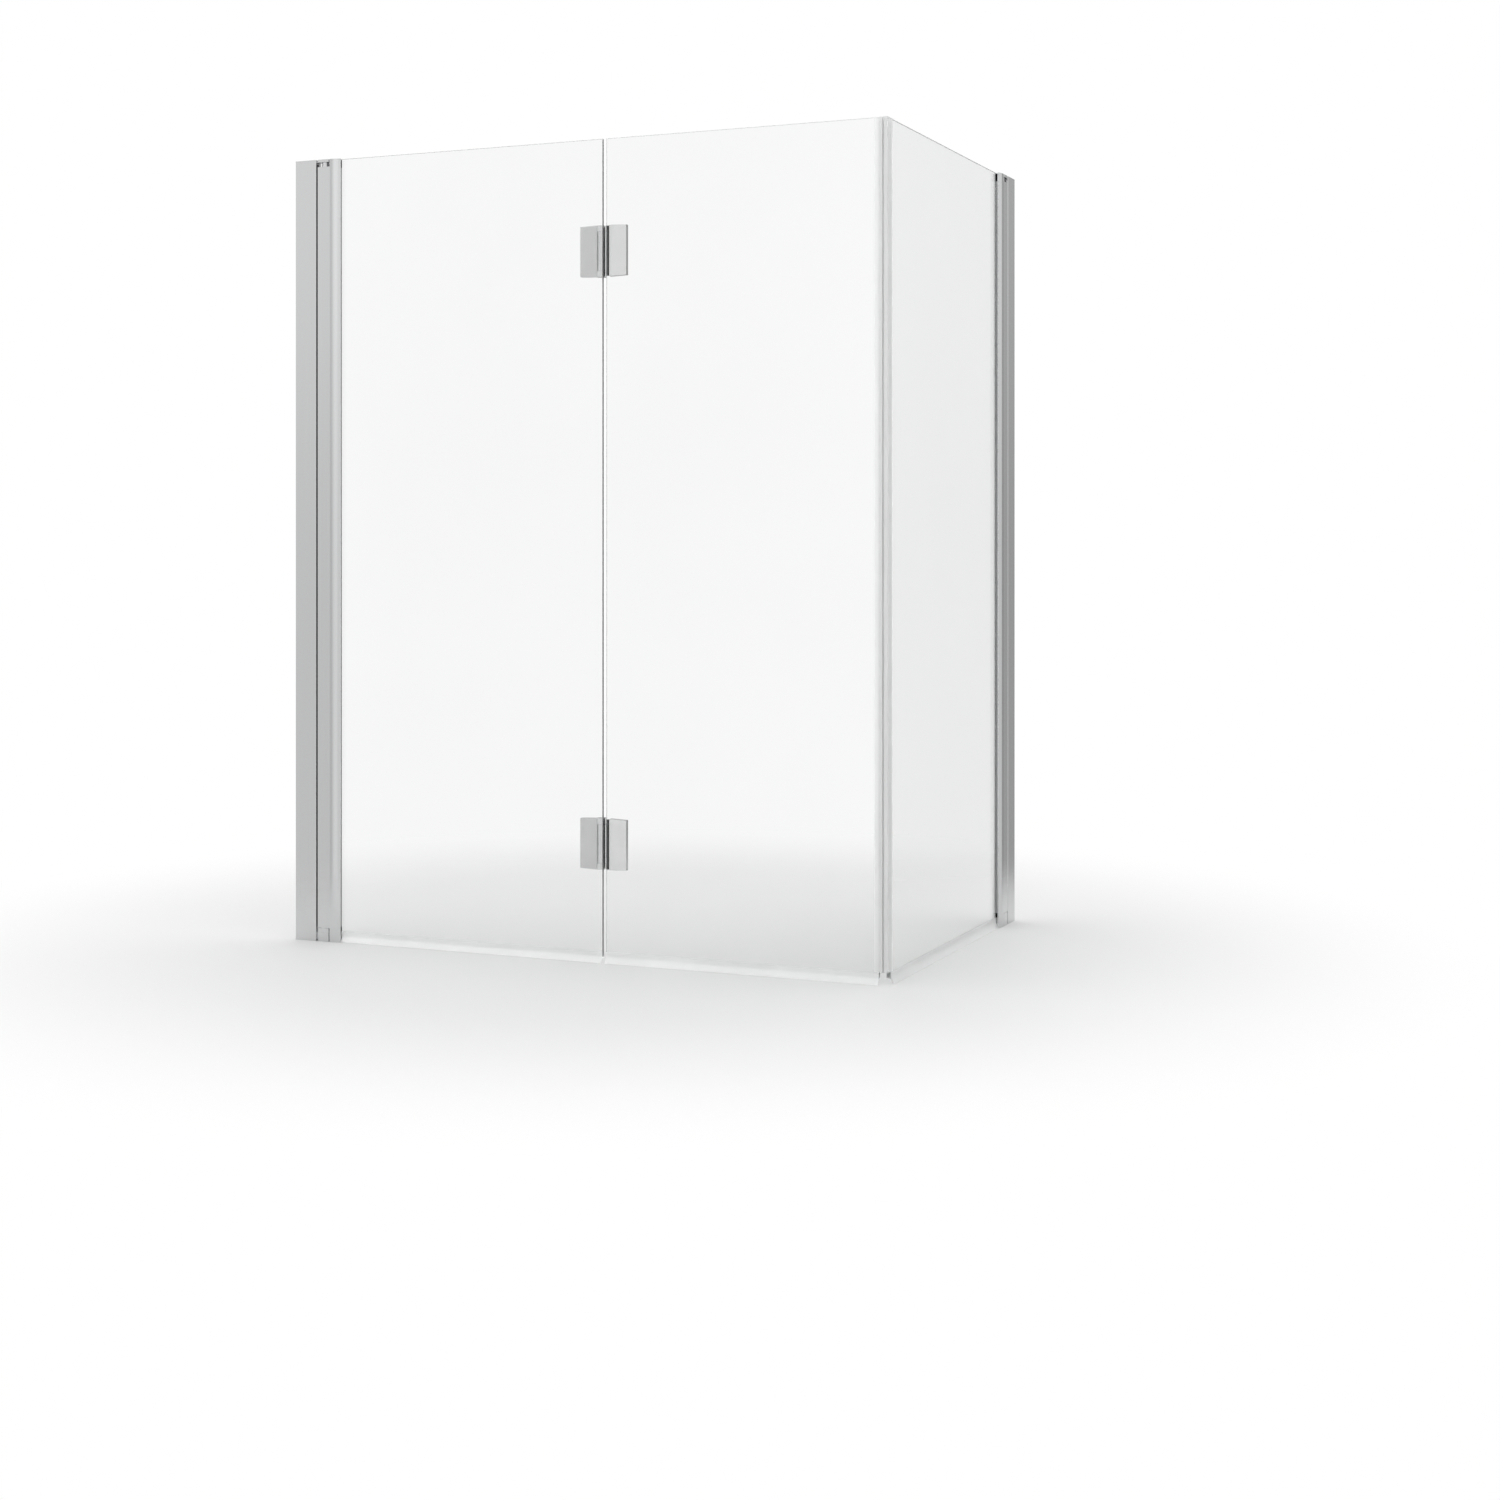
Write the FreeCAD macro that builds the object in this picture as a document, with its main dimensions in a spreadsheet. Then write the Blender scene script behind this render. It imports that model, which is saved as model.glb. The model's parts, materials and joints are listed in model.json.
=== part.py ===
import FreeCAD, Part
import math
import os

import Sketcher

# A frameless bath screen with three glass panels. The front is a folding pair that hangs on a
# post at the left wall, the short side panel hangs on a like post at the back wall, and two
# magnetic strips close the corner between them. Millimetres, +X along the front, +Y from the
# front to the back wall, +Z up. The origin is the middle of the left post's wall face, at its foot.

DRIVING_SIZES = [
    # Whole screen
    ("screen_height", 1400.0, "foot of the posts to the top of the glass"),
    ("front_width", 1124.5, "left wall to the outer face of the side glass"),
    ("side_depth", 690.0, "outer face of the front glass to the back wall"),
    ("glass_thickness", 6.0, "safety glass"),
    ("glass_arris", 0.4, "ground edge of the glass"),
    ("glass_rise", 11.0, "foot of the posts to the lower edge of the glass"),
    ("corner_setback", 14.7, "end of each glass to the outer face of the other one"),
    ("fold_gap", 7.1, "between the two front glasses"),
    ("inner_glass_end", 611.8, "left wall to the folding edge of the first front glass"),
    # Posts, measured from the wall
    ("post_thickness", 18.0, "across the profiles"),
    ("glass_setback", 10.0, "outer face of the profiles to the outer face of the glass"),
    ("nose_reach", 92.0, "wall to the nose of the pivot profile"),
    ("nose_from_pivot", 34.0, "pivot axis to the nose"),
    ("profile_gap", 0.4, "wall profile to the rounded end of the pivot profile"),
    ("pivot_end_radius", 14.2, "rounded end of the pivot profile about its axis"),
    ("notch_from_pivot", 14.0, "pivot axis to the end of the notches for the arms"),
    ("nose_drop", 3.5, "how far the curved face falls towards the nose"),
    ("inner_flange_setback", 5.0, "bath side of the groove, short of the nose"),
    ("groove_floor", 3.0, "between the notches and the glazing groove"),
    ("glass_edge_gap", 2.0, "glass to the bottom of the groove"),
    ("outer_gasket_width", 4.0, "gasket on the outer face of the glass"),
    ("inner_gasket_width", 0.6, "gasket on the inner face of the glass"),
    ("gasket_inset", 0.2, "gaskets short of the profile"),
    ("profile_wall", 1.6, "wall of the extrusions"),
    ("pivot_bore_radius", 7.4, "round chamber about the pivot axis"),
    # Wall channel inside the wall profile
    ("wall_joint", 0.5, "wall profile short of the wall"),
    ("channel_setback", 11.4, "lips of the wall channel, short of the end of the wall profile"),
    ("channel_web", 2.0, "web that is screwed to the wall"),
    ("slide_clearance", 0.2, "wall profile on the wall channel, each side"),
    ("wall_hole_radius", 2.6, "holes for the wall screws"),
    ("outer_hole_inset", 100.0, "ends of the screen to the first and the last wall screw"),
    ("inner_hole_inset", 500.0, "ends of the screen to the middle wall screws"),
    # End caps of the profiles
    ("foot_cap_depth", 3.0, "caps under the profiles"),
    ("head_cap_depth", 2.0, "caps on top of the profiles"),
    # Countersunk screws
    ("screw_radius", 1.75, "shank"),
    ("screw_head_radius", 3.4, "countersunk head"),
    ("screw_head_depth", 1.7, "countersunk head"),
    ("screw_length", 8.0, "with its head"),
    ("screw_socket_radius", 1.2, "hexagon socket, across its corners, halved"),
    ("screw_socket_depth", 1.1, "hexagon socket"),
    ("screw_clearance", 0.1, "holes round the screws"),
    ("clamp_screw_setback", 23.4, "clamp screws, short of the end of the wall profile"),
    ("clamp_screw_inset", 150.0, "ends of the screen to the outer clamp screws"),
    ("arm_screw_setback", 5.4, "screws of the arms, short of the end of the wall profile"),
    # Arms that carry the pivot pins
    ("tongue_length", 9.4, "tongues, from the end of the wall profile into it"),
    ("tongue_clearance", 0.3, "tongues in the wall profile"),
    ("neck_width", 11.0, "necks that join the tongues to the heads of the arms"),
    ("arm_end_radius", 13.6, "rounded end of the arms about the pivot axis"),
    ("top_arm_depth", 5.0, "head of the top arm"),
    ("top_tongue_depth", 11.5, "tongue of the top arm"),
    ("top_air_gap", 8.5, "under the top arm, where the top pin shows"),
    ("bottom_arm_height", 16.0, "head of the bottom arm"),
    ("bearing_ring_height", 8.0, "ring on the bottom arm"),
    ("washer_thickness", 0.5, "thrust washer"),
    ("washer_radius", 8.6, "thrust washer"),
    # Pivot pins and their bushes
    ("pin_radius", 6.0, "pivot pins"),
    ("pin_chamfer", 0.8, "free ends of the pins"),
    ("top_pin_seat", 3.5, "top pin in its arm"),
    ("top_pin_length", 42.0, "top pin"),
    ("bottom_pin_seat", 10.5, "bottom pin in its arm"),
    ("bottom_pin_length", 50.0, "bottom pin"),
    ("bush_length", 30.0, "bushes in the pivot profile"),
    ("running_clearance", 0.06, "pins in their bushes, on the radius"),
    ("seat_clearance", 0.03, "bushes in their bores, on the radius"),
    # Plugs at the ends of the outer gasket
    ("top_plug_height", 14.0, "under the head cap"),
    ("bottom_plug_rise", 19.3, "foot of the post to the lower plug"),
    ("bottom_plug_height", 8.4, "lower plug"),
    ("gasket_foot_rise", 9.5, "foot of the post to the short gasket under the lower plug"),
    # Folding hinges
    ("hinge_inset", 190.0, "end of the glass to the middle of a hinge"),
    ("fold_axis_setback", 8.0, "folding edge of the first glass to the fold axis"),
    ("fold_axis_standoff", 9.5, "inner face of the glass to the fold axis"),
    ("bond_thickness", 0.5, "bond between glass and leaf"),
    ("bond_margin", 0.3, "bond short of the leaf"),
    ("leaf_thickness", 8.5, "hinge leaves"),
    ("leaf_width", 32.2, "hinge leaves"),
    ("leaf_height", 87.5, "hinge leaves, at the fold"),
    ("leaf_taper", 1.2, "fall of a leaf's ends towards its far side"),
    ("leaf_corner", 2.0, "rounded long edges of the leaves"),
    ("fixed_leaf_offset", 4.0, "fold axis to the fixed leaf"),
    ("moving_leaf_offset", 19.0, "fold axis to the moving leaf"),
    ("knuckle_radius", 8.25, "knuckle and lugs"),
    ("knuckle_length", 66.0, "middle knuckle"),
    ("knuckle_clearance", 0.3, "knuckle to lugs and fixed leaf"),
    ("web_thickness", 3.0, "from the knuckle to the moving leaf"),
    ("hinge_pin_radius", 3.0, "hinge pins"),
    ("sleeve_radius", 4.5, "sleeves round the hinge pins"),
    ("buffer_width", 4.3, "rubber buffers"),
    ("buffer_thickness", 5.3, "rubber buffers"),
    # Magnetic corner strips
    ("strip_lip", 1.1, "lips on both faces of the glass"),
    ("strip_grip", 7.5, "how far the lips reach over the glass"),
    ("strip_gap", 0.6, "between the two strips"),
    ("strip_rise", 9.8, "lower edge of the glass to the strips"),
    ("strip_wall", 0.9, "wall round the magnets"),
    ("magnet_width", 4.8, "magnetic bars, across the joint"),
    ("magnet_clearance", 0.1, "magnetic bars in their chambers"),
    # Clip-on seals under the glass
    ("seal_wall", 1.0, "walls of the seals"),
    ("seal_floor", 2.0, "below the glass"),
    ("seal_grip", 8.0, "above the lower edge of the glass"),
    ("lip_thickness", 0.9, "wiper lip"),
    ("lip_flare", 5.0, "wiper lip, outwards"),
    ("lip_tip_rise", 0.6, "foot of the posts to the tip of the lip"),
    ("seal_start_gap", 0.5, "nose of the post to the seal"),
    # Cutting tools
    ("overrun", 5.0, "how far the cutting shapes run past what they cut"),
]


class Size:
    """A size with the sheet expression that gives it, so that sums keep both."""

    def __init__(self, number, text):
        self.number = number
        self.text = text

    def joined(self, sign, other, number):
        text = other.text if isinstance(other, Size) else str(other)
        return Size(number, f"({self.text} {sign} {text})")

    def __add__(self, other):
        return self.joined("+", other, self.number + other.number)

    def __sub__(self, other):
        return self.joined("-", other, self.number - other.number)

    def __mul__(self, other):
        factor = other.number if isinstance(other, Size) else other
        return self.joined("*", other, self.number * factor)

    def __truediv__(self, other):
        divisor = other.number if isinstance(other, Size) else other
        return self.joined("/", other, self.number / divisor)

    def __neg__(self):
        return Size(-self.number, f"(0 - {self.text})")


ZERO = Size(0.0, "0")


def leg(long_side, short_side):
    """The other short side of a right triangle."""
    number = math.sqrt(long_side.number ** 2 - short_side.number ** 2)
    return Size(number, f"sqrt({long_side.text} ^ 2 - {short_side.text} ^ 2)")


def sheet_sizes(doc, rows):
    """Writes the driving sizes to the sheet and returns them by name."""
    sheet = doc.addObject("Spreadsheet::Sheet", "Sizes")
    named = {}
    for row, (alias, number, note) in enumerate(rows, start=1):
        sheet.set(f"A{row}", alias)
        sheet.set(f"B{row}", str(number))
        sheet.setAlias(f"B{row}", alias)
        sheet.set(f"C{row}", note)
        named[alias] = Size(number, f"Sizes.{alias}")
    return named


document = FreeCAD.newDocument("bath_screen")
S = sheet_sizes(document, DRIVING_SIZES)
document.recompute()

half_post = S["post_thickness"] / 2
inner_reach = S["nose_reach"] - S["inner_flange_setback"]
glass_outer = S["glass_setback"] - half_post
glass_inner = glass_outer + S["glass_thickness"]
pivot = S["nose_reach"] - S["nose_from_pivot"]
notch_reach = pivot + S["notch_from_pivot"]
groove_bottom = notch_reach + S["groove_floor"]
wall_profile_reach = pivot - S["pivot_end_radius"] - S["profile_gap"]
channel_reach = wall_profile_reach - S["channel_setback"]
clamp_screw_reach = wall_profile_reach - S["clamp_screw_setback"]
arm_screw_reach = wall_profile_reach - S["arm_screw_setback"]
tongue_reach = wall_profile_reach - S["tongue_length"]
groove_outer = glass_outer - S["outer_gasket_width"]
groove_inner = glass_inner + S["inner_gasket_width"]
glass_start = groove_bottom + S["glass_edge_gap"]
hollow_half = half_post - S["profile_wall"]

glass_bottom = S["glass_rise"]
glass_top = S["screen_height"]
metal_bottom = S["foot_cap_depth"]
metal_top = S["screen_height"] - S["head_cap_depth"]
middle_height = S["screen_height"] / 2
ring_bottom = S["bottom_arm_height"]
ring_top = ring_bottom + S["bearing_ring_height"]
notch_floor = ring_top + S["washer_thickness"]
arm_underside = S["screen_height"] - S["top_arm_depth"]
notch_ceiling = arm_underside - S["top_air_gap"]

front_glass_end = S["front_width"] - S["corner_setback"]
outer_glass_start = S["inner_glass_end"] + S["fold_gap"]
back_wall = S["side_depth"] + glass_outer
side_edge = back_wall - glass_outer - S["corner_setback"]


class Stand:
    """Where a post stands: pieces are drawn from its wall outwards and then set down there."""

    def __init__(self, name, x, y, turn, inward):
        self.name = name
        self.x = x
        self.y = y
        self.turn = turn
        self.inward = inward

    def node(self, piece):
        return f"{self.name}_{piece}"


LEFT = Stand("left", ZERO, ZERO, 0, 1)
BACK = Stand("back", S["front_width"] + glass_outer, back_wall, -90, -1)

pieces = []


def settle(item, label, stand):
    """Names a finished piece, sets it down at its stand and keeps it for export."""
    item.Label = label
    item.Placement = FreeCAD.Placement(
        FreeCAD.Vector(stand.x.number, stand.y.number, 0),
        FreeCAD.Rotation(FreeCAD.Vector(0, 0, 1), stand.turn),
    )
    item.setExpression("Placement.Base.x", stand.x.text)
    item.setExpression("Placement.Base.y", stand.y.text)
    pieces.append(item)
    return item


def pin_point(sketch, geometry, end, name, x, y):
    """Dimensions one point of a sketch from the sketch's origin."""
    for kind, axis, size in (("DistanceX", -2, x), ("DistanceY", -1, y)):
        if size.text == ZERO.text:
            sketch.addConstraint(Sketcher.Constraint("PointOnObject", geometry, end, axis))
            continue
        index = sketch.addConstraint(Sketcher.Constraint(kind, -1, 1, geometry, end, size.number))
        sketch.renameConstraint(index, f"{name}_{kind[-1].lower()}")
        sketch.setExpression(f"Constraints.{name}_{kind[-1].lower()}", size.text)


def set_radius(sketch, geometry, name, radius):
    """Dimensions the radius of a circle or an arc."""
    index = sketch.addConstraint(Sketcher.Constraint("Radius", geometry, radius.number))
    sketch.renameConstraint(index, name)
    sketch.setExpression(f"Constraints.{name}", radius.text)


def draw_circle(sketch, x, y, radius):
    """Draws a full circle."""
    centre = FreeCAD.Vector(x.number, y.number, 0)
    circle = Part.Circle(centre, FreeCAD.Vector(0, 0, 1), radius.number)
    index = sketch.addGeometry(circle, False)
    pin_point(sketch, index, 3, f"centre_{index}", x, y)
    set_radius(sketch, index, f"radius_{index}", radius)


def draw_outline(sketch, corners):
    """Draws a closed outline. A corner is (x, y), or (x, y, radius, centre) where an arc leaves it."""
    ends = []
    for here, after in zip(corners, corners[1:] + corners[:1]):
        start = FreeCAD.Vector(here[0].number, here[1].number, 0)
        stop = FreeCAD.Vector(after[0].number, after[1].number, 0)
        if len(here) == 2:
            index = sketch.addGeometry(Part.LineSegment(start, stop), False)
            ends.append((index, 1, 2))
            continue
        centre = FreeCAD.Vector(here[3][0].number, here[3][1].number, 0)
        turns_left = (start - centre).cross(stop - centre).z > 0
        first, last = (start, stop) if turns_left else (stop, start)
        low = math.atan2(first.y - centre.y, first.x - centre.x)
        high = math.atan2(last.y - centre.y, last.x - centre.x)
        if high < low:
            high += 2 * math.pi
        circle = Part.Circle(centre, FreeCAD.Vector(0, 0, 1), here[2].number)
        index = sketch.addGeometry(Part.ArcOfCircle(circle, low, high), False)
        ends.append((index, 1, 2) if turns_left else (index, 2, 1))
        set_radius(sketch, index, f"radius_{index}", here[2])
    for number, (index, first_end, last_end) in enumerate(ends):
        joined_to = ends[(number + 1) % len(ends)]
        sketch.addConstraint(Sketcher.Constraint("Coincident", index, last_end, joined_to[0], joined_to[1]))
        pin_point(sketch, index, first_end, f"corner_{index}", corners[number][0], corners[number][1])


def extrusion(label, plane, outline, low, high, circles=(), chambers=()):
    """A body padded from an outline on one of its own planes, between two places along its axis."""
    body = document.addObject("PartDesign::Body", label)
    sketch = body.newObject("Sketcher::SketchObject", f"{label}_section")
    origin_plane = [item for item in body.Origin.OriginFeatures if item.Role == plane][0]
    sketch.AttachmentSupport = [(origin_plane, "")]
    sketch.MapMode = "FlatFace"
    # The XZ plane faces -Y, so its sketch stands at the high end and is padded back
    offset = -high if plane == "XZ_Plane" else low
    sketch.setExpression("AttachmentOffset.Base.z", offset.text)
    if outline:
        draw_outline(sketch, outline)
    for chamber in chambers:
        draw_outline(sketch, chamber)
    for x, y, radius in circles:
        draw_circle(sketch, x, y, radius)
    pad = body.newObject("PartDesign::Pad", f"{label}_pad")
    pad.Profile = sketch
    pad.Length = (high - low).number
    pad.setExpression("Length", (high - low).text)
    sketch.Visibility = False
    return body


def ease_edges(body, size):
    """A small flat on every edge of a body."""
    document.recompute()
    chamfer = body.newObject("PartDesign::Chamfer", f"{body.Name}_arris")
    chamfer.Base = (body.Tip if body.Tip != chamfer else chamfer.BaseFeature, [""])
    chamfer.UseAllEdges = True
    chamfer.Size = size.number
    chamfer.setExpression("Size", size.text)
    body.Tip = chamfer
    return body


def rectangle(x0, x1, y0, y1):
    """Corners of an upright rectangle."""
    return [(x0, y0), (x1, y0), (x1, y1), (x0, y1)]


def block(label, x0, x1, y0, y1, z0, z1):
    """A plain box between three pairs of places."""
    box = document.addObject("Part::Box", label)
    for side, low, high in (("Length", x0, x1), ("Width", y0, y1), ("Height", z0, z1)):
        box.setExpression(side, (high - low).text)
    for axis, low in (("x", x0), ("y", y0), ("z", z0)):
        box.setExpression(f"Placement.Base.{axis}", low.text)
    return box


def upright_cylinder(label, x, y, radius, low, high):
    """A cylinder along Z."""
    cylinder = document.addObject("Part::Cylinder", label)
    cylinder.setExpression("Radius", radius.text)
    cylinder.setExpression("Height", (high - low).text)
    for axis, place in (("x", x), ("y", y), ("z", low)):
        cylinder.setExpression(f"Placement.Base.{axis}", place.text)
    return cylinder


def combined(kind, label, items):
    """Joins or groups several shapes."""
    result = document.addObject(kind, label)
    if kind == "Part::Compound":
        result.Links = items
    else:
        result.Shapes = items
    return result


def fused(label, *items):
    return combined("Part::MultiFuse", label, list(items))


def grouped(label, *items):
    return combined("Part::Compound", label, list(items))


def cut(label, base, *tools):
    """Cuts one or more tools out of a shape."""
    result = document.addObject("Part::Cut", label)
    result.Base = base
    result.Tool = tools[0] if len(tools) == 1 else grouped(f"{label}_tools", *tools)
    return result


def shared(label, first, second):
    """What two shapes have in common."""
    result = document.addObject("Part::Common", label)
    result.Base = first
    result.Tool = second
    return result


def across(stand, depth):
    """A place across the post: positive depths lie on the bath side at either stand."""
    return depth * stand.inward


def span(stand, outer, inner):
    """The same for a pair of places, lower one first."""
    places = (across(stand, outer), across(stand, inner))
    return places if stand.inward > 0 else places[::-1]


def turned_outline(stand, corners):
    """An outline across the post, drawn with depths that grow towards the bath."""
    flipped = []
    for corner in corners:
        x, depth = corner[:2]
        if len(corner) == 2:
            flipped.append((x, across(stand, depth)))
        else:
            centre = (corner[3][0], across(stand, corner[3][1]))
            flipped.append((x, across(stand, depth), corner[2], centre))
    return flipped


def along_y(item, stand, x, depth, z):
    """Turns a shape that points up so that it points out of the bath side of the post."""
    item.Placement = FreeCAD.Placement(
        FreeCAD.Vector(0, 0, 0),
        FreeCAD.Rotation(FreeCAD.Vector(1, 0, 0), -90 * stand.inward),
    )
    item.setExpression("Placement.Base.x", x.text)
    item.setExpression("Placement.Base.y", across(stand, depth).text)
    item.setExpression("Placement.Base.z", z.text)
    return item


def screw_shape(label, stand, x, z, grown, with_socket):
    """A countersunk screw from the bath side, or the hole for it where it is grown."""
    radius = S["screw_radius"] + grown
    head_radius = S["screw_head_radius"] + grown
    tip = half_post - S["screw_length"] - grown
    head_start = half_post - S["screw_head_depth"]
    shank = document.addObject("Part::Cylinder", f"{label}_shank")
    shank.setExpression("Radius", radius.text)
    shank.setExpression("Height", (half_post - tip).text)
    along_y(shank, stand, x, tip, z)
    head = document.addObject("Part::Cone", f"{label}_head")
    head.setExpression("Radius1", radius.text)
    head.setExpression("Radius2", head_radius.text)
    head.setExpression("Height", S["screw_head_depth"].text)
    along_y(head, stand, x, head_start, z)
    whole = fused(f"{label}_whole", shank, head)
    if not with_socket:
        return whole
    socket = document.addObject("Part::Prism", f"{label}_socket")
    socket.Polygon = 6
    socket.setExpression("Circumradius", S["screw_socket_radius"].text)
    socket.setExpression("Height", (S["screw_socket_depth"] + S["overrun"]).text)
    along_y(socket, stand, x, half_post - S["screw_socket_depth"], z)
    return cut(label, whole, socket)


def screw_row(stand, name, x, heights):
    """A node of like screws."""
    screws = [
        screw_shape(f"{stand.node(name)}_{number}", stand, x, z, ZERO, True)
        for number, z in enumerate(heights, start=1)
    ]
    settle(grouped(stand.node(name), *screws), stand.node(name), stand)


def screw_holes(stand, name, x, heights):
    """The holes for a row of screws."""
    return [
        screw_shape(f"{stand.node(name)}_hole_{number}", stand, x, z, S["screw_clearance"], False)
        for number, z in enumerate(heights, start=1)
    ]


clamp_heights = [
    S["clamp_screw_inset"],
    middle_height,
    S["screen_height"] - S["clamp_screw_inset"],
]
top_tongue_top = metal_top - S["tongue_clearance"]
top_tongue_bottom = top_tongue_top - S["top_tongue_depth"]
bottom_tongue_bottom = metal_bottom + S["tongue_clearance"]
bottom_tongue_top = ring_top - S["tongue_clearance"]
arm_screw_heights = [
    (bottom_tongue_bottom + bottom_tongue_top) / 2,
    (top_tongue_bottom + top_tongue_top) / 2,
]
tongue_half = hollow_half - S["tongue_clearance"]
tongue_end = wall_profile_reach - S["tongue_clearance"]
neck_half = S["neck_width"] / 2
head_start_reach = pivot - leg(S["pivot_end_radius"], half_post)
pivot_centre = (pivot, ZERO)


def wall_channel(stand):
    """The U channel that is screwed to the wall, with open holes for the wall screws."""
    name = stand.node("wall_channel")
    outside = hollow_half - S["slide_clearance"]
    inside = outside - S["profile_wall"]
    section = [
        (ZERO, -outside), (channel_reach, -outside), (channel_reach, -inside),
        (S["channel_web"], -inside), (S["channel_web"], inside), (channel_reach, inside),
        (channel_reach, outside), (ZERO, outside),
    ]
    channel = extrusion(f"{name}_extrusion", "XY_Plane", section, metal_bottom, metal_top)
    holes = []
    for inset in (S["outer_hole_inset"], S["inner_hole_inset"]):
        for height in (inset, S["screen_height"] - inset):
            hole = document.addObject("Part::Cylinder", f"{name}_wall_hole")
            hole.Placement = FreeCAD.Placement(
                FreeCAD.Vector(0, 0, 0), FreeCAD.Rotation(FreeCAD.Vector(0, 1, 0), 90)
            )
            hole.setExpression("Radius", S["wall_hole_radius"].text)
            hole.setExpression("Height", (S["channel_web"] + S["overrun"] * 2).text)
            hole.setExpression("Placement.Base.x", (-S["overrun"]).text)
            hole.setExpression("Placement.Base.z", height.text)
            holes.append(hole)
    holes += screw_holes(stand, "clamp_screw_in_channel", clamp_screw_reach, clamp_heights)
    settle(cut(name, channel, *holes), name, stand)


def wall_profile(stand):
    """The visible box profile that slides on the channel, with its two end caps."""
    name = stand.node("wall_profile")
    hollow_end = wall_profile_reach - S["profile_wall"]
    section = [
        (S["wall_joint"], -half_post), (wall_profile_reach, -half_post),
        (wall_profile_reach, half_post), (S["wall_joint"], half_post),
        (S["wall_joint"], hollow_half), (hollow_end, hollow_half),
        (hollow_end, -hollow_half), (S["wall_joint"], -hollow_half),
    ]
    profile = extrusion(f"{name}_extrusion", "XY_Plane", section, metal_bottom, metal_top)
    slots = []
    for low, high in (
        (metal_bottom - S["overrun"], ring_top),
        (top_tongue_bottom - S["tongue_clearance"], metal_top + S["overrun"]),
    ):
        slots.append(block(f"{name}_slot", hollow_end - S["overrun"],
                           wall_profile_reach + S["overrun"], -hollow_half, hollow_half, low, high))
    holes = screw_holes(stand, "clamp_screw_in_profile", clamp_screw_reach, clamp_heights)
    holes += screw_holes(stand, "arm_screw_in_profile", arm_screw_reach, arm_screw_heights)
    settle(cut(name, profile, *slots, *holes), name, stand)
    for end, low, high in (("bottom", ZERO, metal_bottom), ("top", metal_top, S["screen_height"])):
        label = stand.node(f"wall_profile_{end}_cap")
        plate = rectangle(ZERO, wall_profile_reach, -half_post, half_post)
        settle(extrusion(label, "XY_Plane", plate, low, high), label, stand)


def arm_head_section():
    """Section of the arms: flush with the post, with a rounded end about the pivot axis."""
    round_start = pivot + leg(S["arm_end_radius"], half_post)
    return [
        (head_start_reach, -half_post),
        (round_start, -half_post, S["arm_end_radius"], pivot_centre),
        (round_start, half_post),
        (head_start_reach, half_post),
    ]


def arm(stand, end, head_low, head_high, neck_low, neck_high, tongue_low, tongue_high,
        pin_low, pin_high, screw_height):
    """An arm held in the wall profile, with the seat of its pivot pin."""
    name = stand.node(f"{end}_arm")
    head = extrusion(f"{name}_head", "XY_Plane", arm_head_section(), head_low, head_high)
    neck = block(f"{name}_neck", tongue_reach, head_start_reach,
                 -neck_half, neck_half, neck_low, neck_high)
    tongue = block(f"{name}_tongue", tongue_reach, tongue_end,
                   -tongue_half, tongue_half, tongue_low, tongue_high)
    seat = upright_cylinder(f"{name}_seat", pivot, ZERO, S["pin_radius"] + S["seat_clearance"],
                            pin_low, pin_high)
    hole = screw_holes(stand, f"{end}_arm_screw", arm_screw_reach, [screw_height])
    settle(cut(name, fused(f"{name}_blank", head, neck, tongue), seat, *hole), name, stand)


def pivot_pin(stand, end, low, high):
    """A steel pivot pin with eased ends."""
    name = stand.node(f"{end}_pivot_pin")
    pin = extrusion(name, "XY_Plane", None, low, high, circles=[(pivot, ZERO, S["pin_radius"])])
    settle(ease_edges(pin, S["pin_chamfer"]), name, stand)


def bearings(stand):
    """The two arms, their screws, the pivot pins, the bearing ring and the thrust washer."""
    top_pin_top = arm_underside + S["top_pin_seat"]
    bottom_pin_bottom = ring_bottom - S["bottom_pin_seat"]
    arm(stand, "top", arm_underside, S["screen_height"], arm_underside, top_tongue_top,
        top_tongue_bottom, top_tongue_top, arm_underside - S["overrun"], top_pin_top,
        arm_screw_heights[1])
    arm(stand, "bottom", ZERO, ring_bottom, bottom_tongue_bottom, ring_bottom,
        bottom_tongue_bottom, bottom_tongue_top, bottom_pin_bottom,
        ring_bottom + S["overrun"], arm_screw_heights[0])
    screw_row(stand, "arm_screws", arm_screw_reach, arm_screw_heights)
    screw_row(stand, "clamp_screws", clamp_screw_reach, clamp_heights)
    pivot_pin(stand, "top", top_pin_top - S["top_pin_length"], top_pin_top)
    pivot_pin(stand, "bottom", bottom_pin_bottom, bottom_pin_bottom + S["bottom_pin_length"])
    bore = S["pin_radius"] + S["seat_clearance"]
    name = stand.node("bearing_ring")
    ring = extrusion(name, "XY_Plane", arm_head_section(), ring_bottom, ring_top,
                     circles=[(pivot, ZERO, bore)])
    settle(ring, name, stand)
    name = stand.node("thrust_washer")
    washer = extrusion(name, "XY_Plane", None, ring_top, notch_floor,
                       circles=[(pivot, ZERO, S["washer_radius"]), (pivot, ZERO, bore)])
    settle(washer, name, stand)


def nose_curve():
    """Start, radius and centre of the gently curved outer face of the pivot profile."""
    run = S["nose_reach"] - notch_reach
    radius = (run * run + S["nose_drop"] * S["nose_drop"]) / (S["nose_drop"] * 2)
    centre = (notch_reach, radius - half_post)
    return S["nose_reach"], S["nose_drop"] - half_post, radius, centre


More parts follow.
